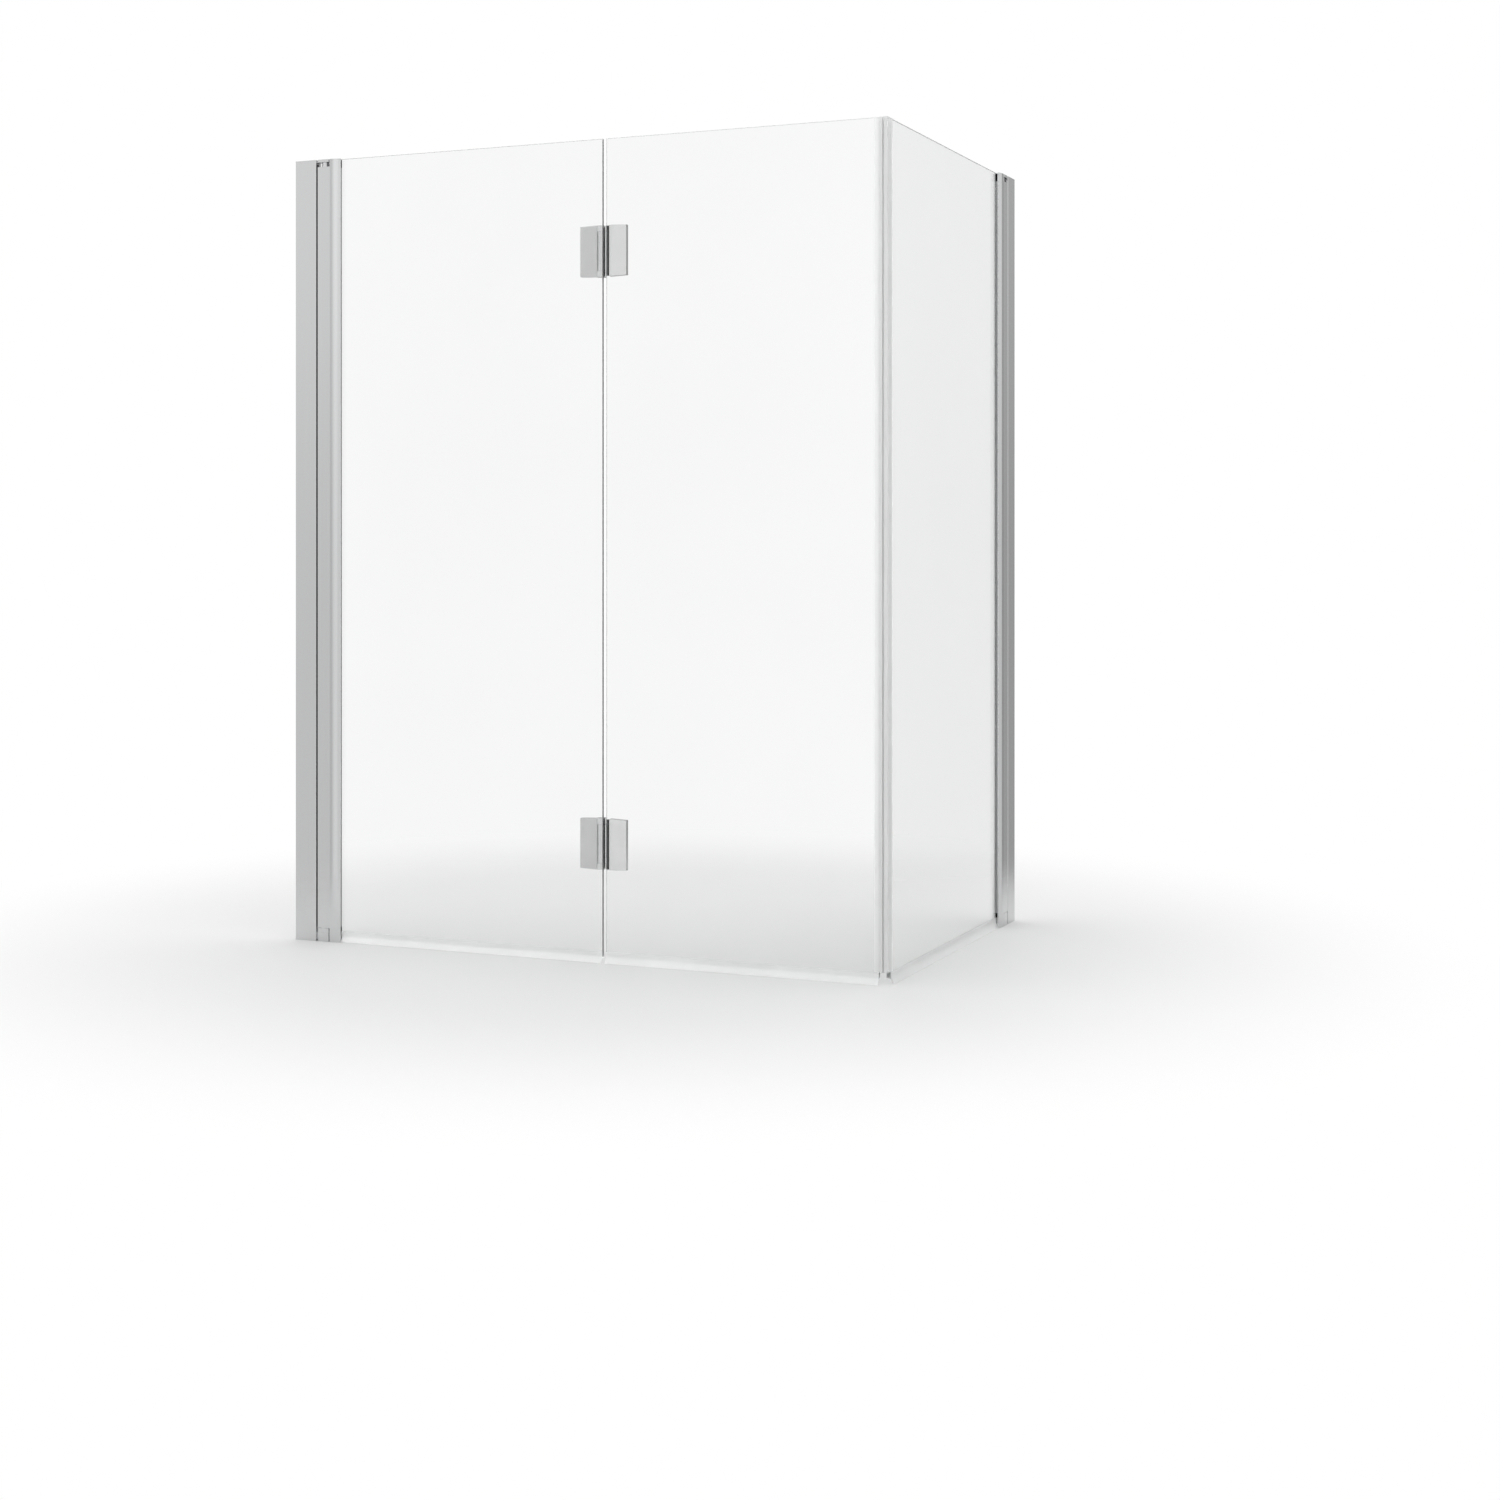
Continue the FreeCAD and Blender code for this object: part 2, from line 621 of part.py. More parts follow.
def pivot_profile(stand):
    """The turning profile that holds the glass, notched at both ends for the arms."""
    name = stand.node("pivot_profile")
    section = [
        (head_start_reach, -half_post, S["pivot_end_radius"], pivot_centre),
        (head_start_reach, half_post),
        (inner_reach, half_post), (inner_reach, groove_inner),
        (groove_bottom, groove_inner), (groove_bottom, groove_outer),
        (S["nose_reach"], groove_outer), nose_curve(), (notch_reach, -half_post),
    ]
    chamber = rectangle(pivot + S["pivot_bore_radius"] + S["profile_wall"],
                        groove_bottom - S["profile_wall"], -hollow_half, hollow_half)
    profile = extrusion(
        f"{name}_extrusion", "XY_Plane", turned_outline(stand, section), metal_bottom, metal_top,
        circles=[(pivot, ZERO, S["pivot_bore_radius"])], chambers=[chamber],
    )
    notches = [
        block(f"{name}_notch", ZERO, notch_reach, -S["post_thickness"], S["post_thickness"], low, high)
        for low, high in ((ZERO, notch_floor), (notch_ceiling, S["screen_height"]))
    ]
    settle(cut(name, profile, *notches), name, stand)

    name = stand.node("pivot_profile_top_cap")
    slotted = [
        (notch_reach, half_post), (inner_reach, half_post), (inner_reach, groove_inner),
        (groove_bottom, groove_inner), (groove_bottom, groove_outer),
        (S["nose_reach"], groove_outer), nose_curve(), (notch_reach, -half_post),
    ]
    cap = extrusion(name, "XY_Plane", turned_outline(stand, slotted), metal_top, S["screen_height"])
    settle(cap, name, stand)

    name = stand.node("pivot_profile_bottom_cap")
    closed = [
        (notch_reach, half_post), (inner_reach, half_post), (S["nose_reach"], groove_outer),
        nose_curve(), (notch_reach, -half_post),
    ]
    settle(extrusion(name, "XY_Plane", turned_outline(stand, closed), ZERO, metal_bottom), name, stand)


def bushes(stand):
    """The two like plastic bushes in which the pivot profile turns on the pins."""
    name = stand.node("pivot_bushes")
    outside = S["pivot_bore_radius"] - S["seat_clearance"]
    inside = S["pin_radius"] + S["running_clearance"]
    rings = [
        extrusion(f"{name}_{end}", "XY_Plane", None, low, low + S["bush_length"],
                  circles=[(pivot, ZERO, outside), (pivot, ZERO, inside)])
        for end, low in (("lower", notch_floor), ("upper", notch_ceiling - S["bush_length"]))
    ]
    settle(grouped(name, *rings), name, stand)


def gaskets(stand):
    """The glazing gaskets on both faces of the glass, and the plugs of the outer one."""
    start = glass_start
    end = S["nose_reach"] - S["gasket_inset"]
    outer = rectangle(start, end, *span(stand, groove_outer, glass_outer))
    inner = rectangle(start, inner_reach - S["gasket_inset"], *span(stand, glass_inner, groove_inner))
    plug_top = S["bottom_plug_rise"] + S["bottom_plug_height"]
    gasket_top = metal_top - S["top_plug_height"]
    name = stand.node("outer_gasket")
    lengths = [
        extrusion(f"{name}_foot", "XY_Plane", outer, S["gasket_foot_rise"], S["bottom_plug_rise"]),
        extrusion(f"{name}_run", "XY_Plane", outer, plug_top, gasket_top),
    ]
    settle(grouped(name, *lengths), name, stand)
    name = stand.node("inner_gasket")
    settle(extrusion(name, "XY_Plane", inner, glass_bottom, metal_top), name, stand)
    name = stand.node("gasket_plugs")
    plugs = [
        extrusion(f"{name}_lower", "XY_Plane", outer, S["bottom_plug_rise"], plug_top),
        extrusion(f"{name}_upper", "XY_Plane", outer, gasket_top, metal_top),
    ]
    settle(grouped(name, *plugs), name, stand)


def glass(name, stand, start, end):
    """A glass panel with ground edges."""
    section = rectangle(start, end, *span(stand, glass_outer, glass_inner))
    panel = extrusion(name, "XY_Plane", section, glass_bottom, glass_top)
    settle(ease_edges(panel, S["glass_arris"]), name, stand)


def bottom_seal(name, stand, start, end):
    """A clip-on seal under a glass, with a wiper lip that flares outwards to the foot."""
    outer_wall = glass_outer - S["seal_wall"]
    inner_wall = glass_inner + S["seal_wall"]
    clip_top = glass_bottom + S["seal_grip"]
    clip_bottom = glass_bottom - S["seal_floor"]
    lip_tip = outer_wall - S["lip_flare"]
    section = [
        (outer_wall, clip_top), (glass_outer, clip_top), (glass_outer, glass_bottom),
        (glass_inner, glass_bottom), (glass_inner, clip_top), (inner_wall, clip_top),
        (inner_wall, clip_bottom), (outer_wall + S["lip_thickness"], clip_bottom),
        (lip_tip + S["lip_thickness"], S["lip_tip_rise"]), (lip_tip, S["lip_tip_rise"]),
        (outer_wall, clip_bottom + S["lip_thickness"]),
    ]
    section = [(across(stand, depth), height) for depth, height in section]
    settle(extrusion(name, "YZ_Plane", section, start, end), name, stand)


fold_x = S["inner_glass_end"] - S["fold_axis_setback"]
fold_y = glass_inner + S["fold_axis_standoff"]
leaf_back = glass_inner + S["bond_thickness"]
leaf_front = leaf_back + S["leaf_thickness"]


def leaf_plate(name, near, far, middle):
    """A leaf: long inner edges rounded, its ends falling slightly away from the fold."""
    corner = S["leaf_corner"]
    side = 1 if far.number > near.number else -1
    near_round = near + corner * side
    far_round = far - corner * side
    plan = [
        (near, leaf_back), (far, leaf_back),
        (far, leaf_front - corner, corner, (far_round, leaf_front - corner)),
        (far_round, leaf_front),
        (near_round, leaf_front, corner, (near_round, leaf_front - corner)),
        (near, leaf_front - corner),
    ]
    half = S["leaf_height"] / 2
    low_half = half - S["leaf_taper"]
    face = [
        (near, middle - half), (far, middle - low_half), (far, middle + low_half), (near, middle + half),
    ]
    upright = extrusion(f"{name}_plan", "XY_Plane", plan, middle - half, middle + half)
    level = extrusion(f"{name}_face", "XZ_Plane", face, leaf_back - S["overrun"],
                      leaf_front + S["overrun"])
    return shared(f"{name}_plate", upright, level)


def bond(name, near, far, middle):
    """The thin bond that holds a leaf to the glass."""
    margin = S["bond_margin"]
    low, high = (near, far) if near.number < far.number else (far, near)
    half = S["leaf_height"] / 2 - S["leaf_taper"] - margin
    return block(name, low + margin, high - margin, glass_inner, leaf_back, middle - half, middle + half)


def hinge(end, middle):
    """A folding hinge bonded to the inner faces of the two front glasses."""
    half_knuckle = S["knuckle_length"] / 2
    half_leaf = S["leaf_height"] / 2
    gap = S["knuckle_clearance"]
    fixed_near = fold_x - S["fixed_leaf_offset"]
    fixed_far = fixed_near - S["leaf_width"]
    moving_near = fold_x + S["moving_leaf_offset"]
    moving_far = moving_near + S["leaf_width"]

    name = f"{end}_hinge_fixed_leaf"
    plate = leaf_plate(name, fixed_near, fixed_far, middle)
    scoop = upright_cylinder(f"{name}_scoop", fold_x, fold_y, S["knuckle_radius"] + gap,
                             middle - half_knuckle - gap, middle + half_knuckle + gap)
    lugs = []
    for low, high in (
        (middle - half_leaf, middle - half_knuckle - gap),
        (middle + half_knuckle + gap, middle + half_leaf),
    ):
        lugs.append(upright_cylinder(f"{name}_lug", fold_x, fold_y, S["knuckle_radius"], low, high))
        lugs.append(block(f"{name}_lug_root", fixed_near - S["leaf_corner"], fold_x,
                          fold_y - S["knuckle_radius"], leaf_front, low, high))
    pin_hole = upright_cylinder(f"{name}_pin_hole", fold_x, fold_y, S["hinge_pin_radius"],
                                middle - half_leaf - S["overrun"], middle + half_leaf + S["overrun"])
    scooped = cut(f"{name}_scooped", plate, scoop)
    settle(cut(name, fused(f"{name}_blank", scooped, *lugs), pin_hole), name, LEFT)

    name = f"{end}_hinge_moving_leaf"
    plate = leaf_plate(name, moving_near, moving_far, middle)
    knuckle = upright_cylinder(f"{name}_knuckle", fold_x, fold_y, S["knuckle_radius"],
                               middle - half_knuckle, middle + half_knuckle)
    web = block(f"{name}_web", fold_x, moving_near + S["leaf_corner"],
                leaf_front - S["web_thickness"], leaf_front,
                middle - half_knuckle, middle + half_knuckle)
    bore = upright_cylinder(f"{name}_bore", fold_x, fold_y, S["sleeve_radius"],
                            middle - half_knuckle - S["overrun"], middle + half_knuckle + S["overrun"])
    settle(cut(name, fused(f"{name}_blank", plate, knuckle, web), bore), name, LEFT)

    name = f"{end}_hinge_pin"
    pin = extrusion(name, "XY_Plane", None, middle - half_leaf, middle + half_leaf,
                    circles=[(fold_x, fold_y, S["hinge_pin_radius"])])
    settle(pin, name, LEFT)
    name = f"{end}_hinge_sleeve"
    sleeve = extrusion(
        name, "XY_Plane", None, middle - half_knuckle, middle + half_knuckle,
        circles=[(fold_x, fold_y, S["sleeve_radius"]),
                 (fold_x, fold_y, S["hinge_pin_radius"] + S["running_clearance"])],
    )
    settle(sleeve, name, LEFT)
    return (
        bond(f"{end}_fixed_bond", fixed_near, fixed_far, middle),
        bond(f"{end}_moving_bond", moving_near, moving_far, middle),
        block(f"{end}_buffer", moving_near - S["buffer_width"], moving_near, leaf_back,
              leaf_back + S["buffer_thickness"], middle - half_leaf + S["leaf_taper"],
              middle + half_leaf - S["leaf_taper"]),
    )


def folding_hinges():
    """Both hinges, with their bonds and rubber buffers."""
    fixed_bonds, moving_bonds, buffers = zip(
        hinge("lower", glass_bottom + S["hinge_inset"]),
        hinge("upper", glass_top - S["hinge_inset"]),
    )
    for name, items in (
        ("fixed_leaf_bonds", fixed_bonds),
        ("moving_leaf_bonds", moving_bonds),
        ("hinge_buffers", buffers),
    ):
        settle(grouped(name, *items), name, LEFT)


strip_bottom = glass_bottom + S["strip_rise"]
outer_lip = glass_outer - S["strip_lip"]
inner_lip = glass_inner + S["strip_lip"]
front_head = S["corner_setback"] - S["glass_thickness"] - S["strip_lip"] - S["strip_gap"]
side_head = S["corner_setback"] + S["strip_lip"]


def corner_strip(name, stand, edge, head, magnet_from_tip, magnet_low, magnet_high):
    """A strip on the upright edge of a glass, with its magnetic bar in a chamber at the tip."""
    magnet_name = f"{name.rsplit('_', 1)[0]}_magnet"
    tip = edge + head
    magnet_end = tip - magnet_from_tip
    magnet_start = magnet_end - S["magnet_width"]
    room = S["magnet_clearance"]
    section = [
        (edge - S["strip_grip"], outer_lip), (tip, outer_lip), (tip, inner_lip),
        (edge - S["strip_grip"], inner_lip), (edge - S["strip_grip"], glass_inner),
        (edge, glass_inner), (edge, glass_outer), (edge - S["strip_grip"], glass_outer),
    ]
    chamber = [
        (magnet_start - room, magnet_low - room), (magnet_end + room, magnet_low - room),
        (magnet_end + room, magnet_high + room), (magnet_start - room, magnet_high + room),
    ]
    strip = extrusion(name, "XY_Plane", turned_outline(stand, section), strip_bottom, glass_top,
                      chambers=[turned_outline(stand, chamber)])
    settle(strip, name, stand)
    bar = [
        (magnet_start, magnet_low), (magnet_end, magnet_low),
        (magnet_end, magnet_high), (magnet_start, magnet_high),
    ]
    magnet = extrusion(magnet_name, "XY_Plane", turned_outline(stand, bar), strip_bottom, glass_top)
    settle(magnet, magnet_name, stand)


for stand in (LEFT, BACK):
    wall_channel(stand)
    wall_profile(stand)
    bearings(stand)
    pivot_profile(stand)
    bushes(stand)
    gaskets(stand)

seal_start = S["nose_reach"] + S["seal_start_gap"]
glass("front_inner_glass", LEFT, glass_start, S["inner_glass_end"])
glass("front_outer_glass", LEFT, outer_glass_start, front_glass_end)
glass("side_glass", BACK, glass_start, side_edge)
bottom_seal("front_inner_seal", LEFT, seal_start, S["inner_glass_end"])
bottom_seal("front_outer_seal", LEFT, outer_glass_start, front_glass_end)
bottom_seal("side_seal", BACK, seal_start, side_edge)
folding_hinges()
magnet_inner_wall = S["strip_wall"] + S["magnet_clearance"]
corner_strip("front_corner_strip", LEFT, front_glass_end, front_head, magnet_inner_wall,
             outer_lip + magnet_inner_wall, inner_lip - magnet_inner_wall)
corner_strip("side_corner_strip", BACK, side_edge, side_head, magnet_inner_wall,
             outer_lip + magnet_inner_wall, inner_lip - magnet_inner_wall)

document.recompute()

for item in document.Objects:
    if "Invalid" in item.State or "Error" in item.State:
        raise RuntimeError(f"{item.Label} failed: {item.State}")
for item in pieces:
    if item.Shape.isNull() or not item.Shape.isValid() or not item.Shape.Solids:
        raise RuntimeError(f"{item.Label} has no valid solid")

os.makedirs("parts", exist_ok=True)
for item in pieces:
    item.Shape.exportStep(f"parts/{item.Label}.step")
print(len(pieces), "pieces written")
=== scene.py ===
"""Dressed model of a corner bath screen: two posts, three glass panels, two folding hinges,
magnetic corner strips and wiper seals. Metres, +X along the front, +Y to the back wall, +Z up."""

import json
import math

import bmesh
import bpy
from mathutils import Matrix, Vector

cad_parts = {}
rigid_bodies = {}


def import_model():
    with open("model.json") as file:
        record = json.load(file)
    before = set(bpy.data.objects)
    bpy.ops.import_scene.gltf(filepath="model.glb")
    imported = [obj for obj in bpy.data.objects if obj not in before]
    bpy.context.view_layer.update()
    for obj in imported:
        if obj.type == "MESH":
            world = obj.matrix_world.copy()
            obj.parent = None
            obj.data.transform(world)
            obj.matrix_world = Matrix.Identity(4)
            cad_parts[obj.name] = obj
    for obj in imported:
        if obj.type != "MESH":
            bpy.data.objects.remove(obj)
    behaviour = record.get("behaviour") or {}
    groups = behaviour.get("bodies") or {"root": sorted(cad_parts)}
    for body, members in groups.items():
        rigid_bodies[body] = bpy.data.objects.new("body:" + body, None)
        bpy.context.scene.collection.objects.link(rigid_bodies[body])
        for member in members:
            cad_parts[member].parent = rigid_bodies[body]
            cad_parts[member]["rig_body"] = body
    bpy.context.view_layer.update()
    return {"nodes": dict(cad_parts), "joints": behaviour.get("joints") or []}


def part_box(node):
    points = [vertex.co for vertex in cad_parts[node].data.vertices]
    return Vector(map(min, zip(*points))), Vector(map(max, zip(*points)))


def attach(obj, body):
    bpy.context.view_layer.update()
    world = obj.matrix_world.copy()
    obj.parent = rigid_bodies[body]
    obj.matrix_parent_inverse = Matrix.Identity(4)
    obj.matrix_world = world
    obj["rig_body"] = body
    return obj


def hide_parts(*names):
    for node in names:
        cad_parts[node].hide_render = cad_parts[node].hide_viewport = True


bl_info = {
    "name": "Corner bath screen",
    "version": (1, 0, 0),
    "blender": (4, 5, 0),
    "location": "View3D > Sidebar > Bath Screen",
    "description": "Models and finishes the pieces of a folding corner bath screen",
    "category": "Object",
}

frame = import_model()

AXES = {joint["name"]: Vector(joint["pos_m"]) for joint in frame["joints"]}
UP = (0.0, 0.0, 1.0)

# Sizes in metres that the frame doesn't give

NEAR = 1e-5  # two places this close are the same
OVERRUN = 0.01  # of a cutter past what it cuts
LAP = 0.002  # of a shape into the one it is joined to
CLEAR_HAIR = 0.00004  # keeps the faces of clear pieces apart
BOND_HAIR = 0.00003  # keeps what is bonded to the glass off its face

STILL = 1e-7  # a step shorter than this is none
WELD = 2e-6  # drawn points closer than this become one
DOT = 0.001  # plane that shrinks to the first drawn point

TONGUE_ROOM = 0.0003  # round the tongue of an arm
TOP_TONGUE_DROP = 0.0023  # from the head of the top arm down to its tongue
FOOT_TONGUE_RISE = 0.0033  # from the foot of the bottom arm up to its tongue
NECK_HALF = 0.0055
PIN_SEAT = 0.0035  # of the top pin in the head of its arm
PIN_CHAMFER = 0.0008
RING_ROOM = 0.00005

NOTCH_REACH = 0.014  # from the pivot axis
NOTCH_DROP = 0.004  # from the end of the top pin
NOSE_DROP = 0.0035
GLASS_ROOM = 0.002  # between the edge of the glass and the floor of its groove
GASKET_INSET = 0.0002
WINDOW_WALL = 0.002  # left on the bath side of the air gap
BUSH_BORE_RADIUS = 0.0074
BUSH_BORE_DEPTH = 0.03
BUSH_BORE_OVERRUN = 0.001
PIVOT_EDGE = 0.0006
CUTTER_HALF = 0.03
GASKET_LIP = 0.0008
PLUG_LIP = 0.0006

SHANK_RADIUS = 0.00175
SCREW_LENGTH = 0.008
HEAD_DEPTH = 0.0017
HEAD_LAP = 0.0001
HEAD_RIM = 0.00015
SOCKET_RADIUS = 0.0012
SOCKET_DEPTH = 0.0011
SINK_FLOOR = 0.55  # radius of a countersink's floor, as a share of the screw's head
SINK_ROOM = 0.0001
SINK_OVERRUN = 0.00001

MAGNET_ROOM = 0.0001
MAGNET_EDGE = 0.0004
SEAL_FLOOR = 0.002
SEAL_EDGE = 0.0002
LIP_FLARE = 0.005
LIP_WALL = 0.0009

LEAF_THICKNESS = 0.0085
LEAF_MARGIN = 0.0003  # of a leaf past its bond
LEAF_TAPER = 0.0012
LEAF_EDGE = 0.00025
LEAF_SIDE = 0.002  # depth of the free side that has its own finish
KNUCKLE_GAP = 0.0003
WEB_DEPTH = 0.003
HINGE_PIN_RADIUS = 0.003
HINGE_PIN_ROOM = 0.00001
HINGE_PIN_EDGE = 0.0004
SLEEVE_RADIUS = 0.0045
BUFFER_EDGE = 0.0007
BOND_EDGE = 0.0001

RELIEF_DEPTH = 0.0001

# Directions, angles and steps

ALONG = 0.9  # least part of a direction that follows an axis
ACROSS = 0.1  # greatest part of a direction that lies across an axis
FACING = 0.5  # least part of a normal that faces a side

EASE_ANGLE = 30.0  # edges sharper than this are rounded, in degrees
ARM_EASE_ANGLE = 40.0
PIVOT_EASE_ANGLE = 25.0
LEAF_EASE_ANGLE = 35.0
SMOOTH_ANGLE = 35.0  # faces closer than this shade as one, in degrees
NORMAL_WEIGHT = 80  # how far the large faces decide the shading

CORNER_STEPS = 4  # of the rounded long edges of the posts
LEAF_CORNER_STEPS = 5
ARC_STEPS = 20  # of the arcs about the pivot axis
NOSE_STEPS = 12  # of the curve that falls to the nose
ROD_SIDES = 64
HINGE_PIN_SIDES = 48
SHANK_SIDES = 24
HEAD_SIDES = 48
SINK_SIDES = 32
SOCKET_SIDES = 6
FLOOR_SIDES = 96

# The stage

SCREEN_MIDDLE = Vector((0.56, 0.3, 0.0))
FLOOR_RADIUS = 9.0
FLOOR_FADE = (0.7, 1.5)  # distances between which the floor fades away
LAMP_PLACE = (0.5, 0.3, 3.4)
LAMP_SIDE = 2.6
LAMP_LEVEL = 0.9
CAMERA_PLACE = (2.3409, -3.4306, 0.7107)
CAMERA_TURN = math.radians(23.0)
CAMERA_LENS = 54.19
CAMERA_SENSOR = 36.0
CAMERA_SHIFT = -0.137
CAMERA_RANGE = (0.01, 60.0)
CEILING_LEVEL = 1.15

# Brightness of the studio round the screen, by degrees from the front towards the right
STUDIO_LEVELS = (
    (-180, 0.70), (-90, 0.72), (-60, 0.92), (-45, 1.0), (-34, 1.0), (-31, 0.74), (-25, 0.74),
    (-20, 1.0), (-14, 1.14), (-6, 1.14), (0, 1.0), (10, 1.0), (60, 0.95), (143, 0.9),
    (149, 0.42), (156, 0.38), (162, 0.5), (168, 0.56), (180, 0.7),
)


# Sizes and colours that a user would change


class ScreenSizes(bpy.types.PropertyGroup):
    """Small sizes of the finish. The large ones come from the frame."""

    arris: bpy.props.FloatProperty(
        name="Glass arris", description="Ground flat along the edges of the glass",
        default=0.0005, min=0.0001, max=0.0015, unit="LENGTH", subtype="DISTANCE")
    profile_edge: bpy.props.FloatProperty(
        name="Profile edge", description="Rounding of the long edges of the wall profiles",
        default=0.0012, min=0.0002, max=0.003, unit="LENGTH", subtype="DISTANCE")
    fine_edge: bpy.props.FloatProperty(
        name="Fine edge", description="Rounding of small metal and plastic edges",
        default=0.0003, min=0.00005, max=0.001, unit="LENGTH", subtype="DISTANCE")
    shut_edge: bpy.props.FloatProperty(
        name="Shut edge", description="Edges of metal parts that close on each other",
        default=0.00012, min=0.00005, max=0.0005, unit="LENGTH", subtype="DISTANCE")
    leaf_corner: bpy.props.FloatProperty(
        name="Leaf corner", description="Rounded long edges of the hinge leaves",
        default=0.002, min=0.0005, max=0.004, unit="LENGTH", subtype="DISTANCE")
    profile_wall: bpy.props.FloatProperty(
        name="Profile wall", description="Wall of the aluminium extrusions",
        default=0.0016, min=0.001, max=0.003, unit="LENGTH", subtype="DISTANCE")
    seal_wall: bpy.props.FloatProperty(
        name="Seal wall", description="Wall of the seals under the glass",
        default=0.001, min=0.0005, max=0.002, unit="LENGTH", subtype="DISTANCE")
    plug_height: bpy.props.FloatProperty(
        name="Lower plug", description="Height of the lower black plug of each post",
        default=0.0084, min=0.004, max=0.012, unit="LENGTH", subtype="DISTANCE")


class ScreenColours(bpy.types.PropertyGroup):
    """Colours of the finishes."""

    aluminium: bpy.props.FloatVectorProperty(
        name="Aluminium", description="Satin aluminium of the posts", subtype="COLOR",
        size=3, min=0.0, max=1.0, default=(0.64, 0.643, 0.648))
    chrome: bpy.props.FloatVectorProperty(
        name="Chrome", description="Polished hinges", subtype="COLOR",
        size=3, min=0.0, max=1.0, default=(0.70, 0.703, 0.708))
    # Painted reflection: the fixed leaves' faces seen through the glass are painted darker, and the
    # moving leaves' faces lighter, than the one chrome of the hinges.
    shaded_fixed_face: bpy.props.FloatVectorProperty(
        name="Fixed leaf face", description="Fixed hinge leaves, seen through the glass",
        subtype="COLOR", size=3, min=0.0, max=1.0, default=(0.615, 0.615, 0.615))
    lit_moving_face: bpy.props.FloatVectorProperty(
        name="Moving leaf face", description="Moving hinge leaves, seen through the glass",
        subtype="COLOR", size=3, min=0.0, max=1.0, default=(0.78, 0.78, 0.78))
    gasket: bpy.props.FloatVectorProperty(
        name="Gasket", description="Glazing gaskets", subtype="COLOR",
        size=3, min=0.0, max=1.0, default=(0.27, 0.272, 0.276))
    rubber: bpy.props.FloatVectorProperty(
        name="Rubber", description="Plugs and buffers", subtype="COLOR",
        size=3, min=0.0, max=1.0, default=(0.005, 0.005, 0.0055))
    plastic: bpy.props.FloatVectorProperty(
        name="Clear plastic", description="Corner strips and seals", subtype="COLOR",
        size=3, min=0.0, max=1.0, default=(0.985, 0.986, 0.986))
    floor: bpy.props.FloatVectorProperty(
        name="Floor", description="Pale floor", subtype="COLOR",
        size=3, min=0.0, max=1.0, default=(0.74, 0.74, 0.74))


def sizes():
    return bpy.context.scene.bath_screen_sizes


def colours():
    return bpy.context.scene.bath_screen_colours


# Modelling by hand


def leave_edit_mode():
    if bpy.context.mode != "OBJECT":
        bpy.ops.object.mode_set(mode="OBJECT")


def deselect():
    leave_edit_mode()
    bpy.ops.object.select_all(action="DESELECT")


def make_active(piece):
    deselect()
    piece.select_set(True)
    bpy.context.view_layer.objects.active = piece


def settle_primitive(name):
    """Names the new primitive, keeps its place in its mesh and opens it for editing."""
    piece = bpy.context.object
    piece.name = name
    piece.data.name = name
    bpy.ops.object.transform_apply(location=True, rotation=True, scale=True)
    bpy.ops.object.mode_set(mode="EDIT")
    bpy.ops.mesh.select_all(action="DESELECT")
    return piece


def add_box(name, low, high):
    """A box at its place, open for editing with nothing selected."""
    deselect()
    low, high = Vector(low), Vector(high)
    bpy.ops.mesh.primitive_cube_add(size=1.0, location=(low + high) / 2, scale=high - low)
    return settle_primitive(name)


def add_rod(name, x, y, radius, low, high, sides=ROD_SIDES):
    """An upright cylinder at its place, open for editing."""
    deselect()
    bpy.ops.mesh.primitive_cylinder_add(
        vertices=sides, radius=radius, depth=high - low, location=(x, y, (low + high) / 2))
    return settle_primitive(name)


def add_lying_rod(name, x, z, radius, deep, face, sides):
    """A cylinder along Y at its place, open for editing."""
    deselect()
    bpy.ops.mesh.primitive_cylinder_add(
        vertices=sides, radius=radius, depth=face - deep, location=(x, (deep + face) / 2, z),
        rotation=(math.pi / 2, 0.0, 0.0))
    return settle_primitive(name)


def add_lying_cone(name, x, z, inner_radius, outer_radius, face, sides):
    """A cone along Y, as deep as the head of a screw, that widens towards the face of the post."""
    deselect()
    bpy.ops.mesh.primitive_cone_add(
        vertices=sides, radius1=inner_radius, radius2=outer_radius, depth=HEAD_DEPTH,
        location=(x, face - HEAD_DEPTH / 2, z), rotation=(-math.pi / 2, 0.0, 0.0))
    return settle_primitive(name)


def pick(piece, kind, test):
    """Selects the faces or edges of an open piece that pass the test, by middle and direction."""
    bpy.ops.mesh.select_mode(type=kind)
    bpy.ops.mesh.select_all(action="DESELECT")
    mesh = bmesh.from_edit_mesh(piece.data)
    found = 0
    if kind == "FACE":
        for face in mesh.faces:
            if test(face.calc_center_median(), face.normal):
                face.select_set(True)
                found += 1
    else:
        for edge in mesh.edges:
            start, end = (corner.co for corner in edge.verts)
            if test((start + end) / 2, (end - start).normalized()):
                edge.select_set(True)
                found += 1
    if not found:
        raise RuntimeError(f"nothing was found to select on {piece.name}")
    bmesh.update_edit_mesh(piece.data)


def bevel(width, segments):
    """Rounds the selected edges of the open piece."""
    bpy.ops.mesh.bevel(offset=width, segments=segments, affect="EDGES")


def round_upright(piece, x, width):
    """Rounds the upright edges of an open piece that stand at one distance from the wall."""
    pick(piece, "EDGE", lambda middle, way: abs(way.z) > ALONG and abs(middle.x - x) < NEAR)
    bevel(width, CORNER_STEPS)


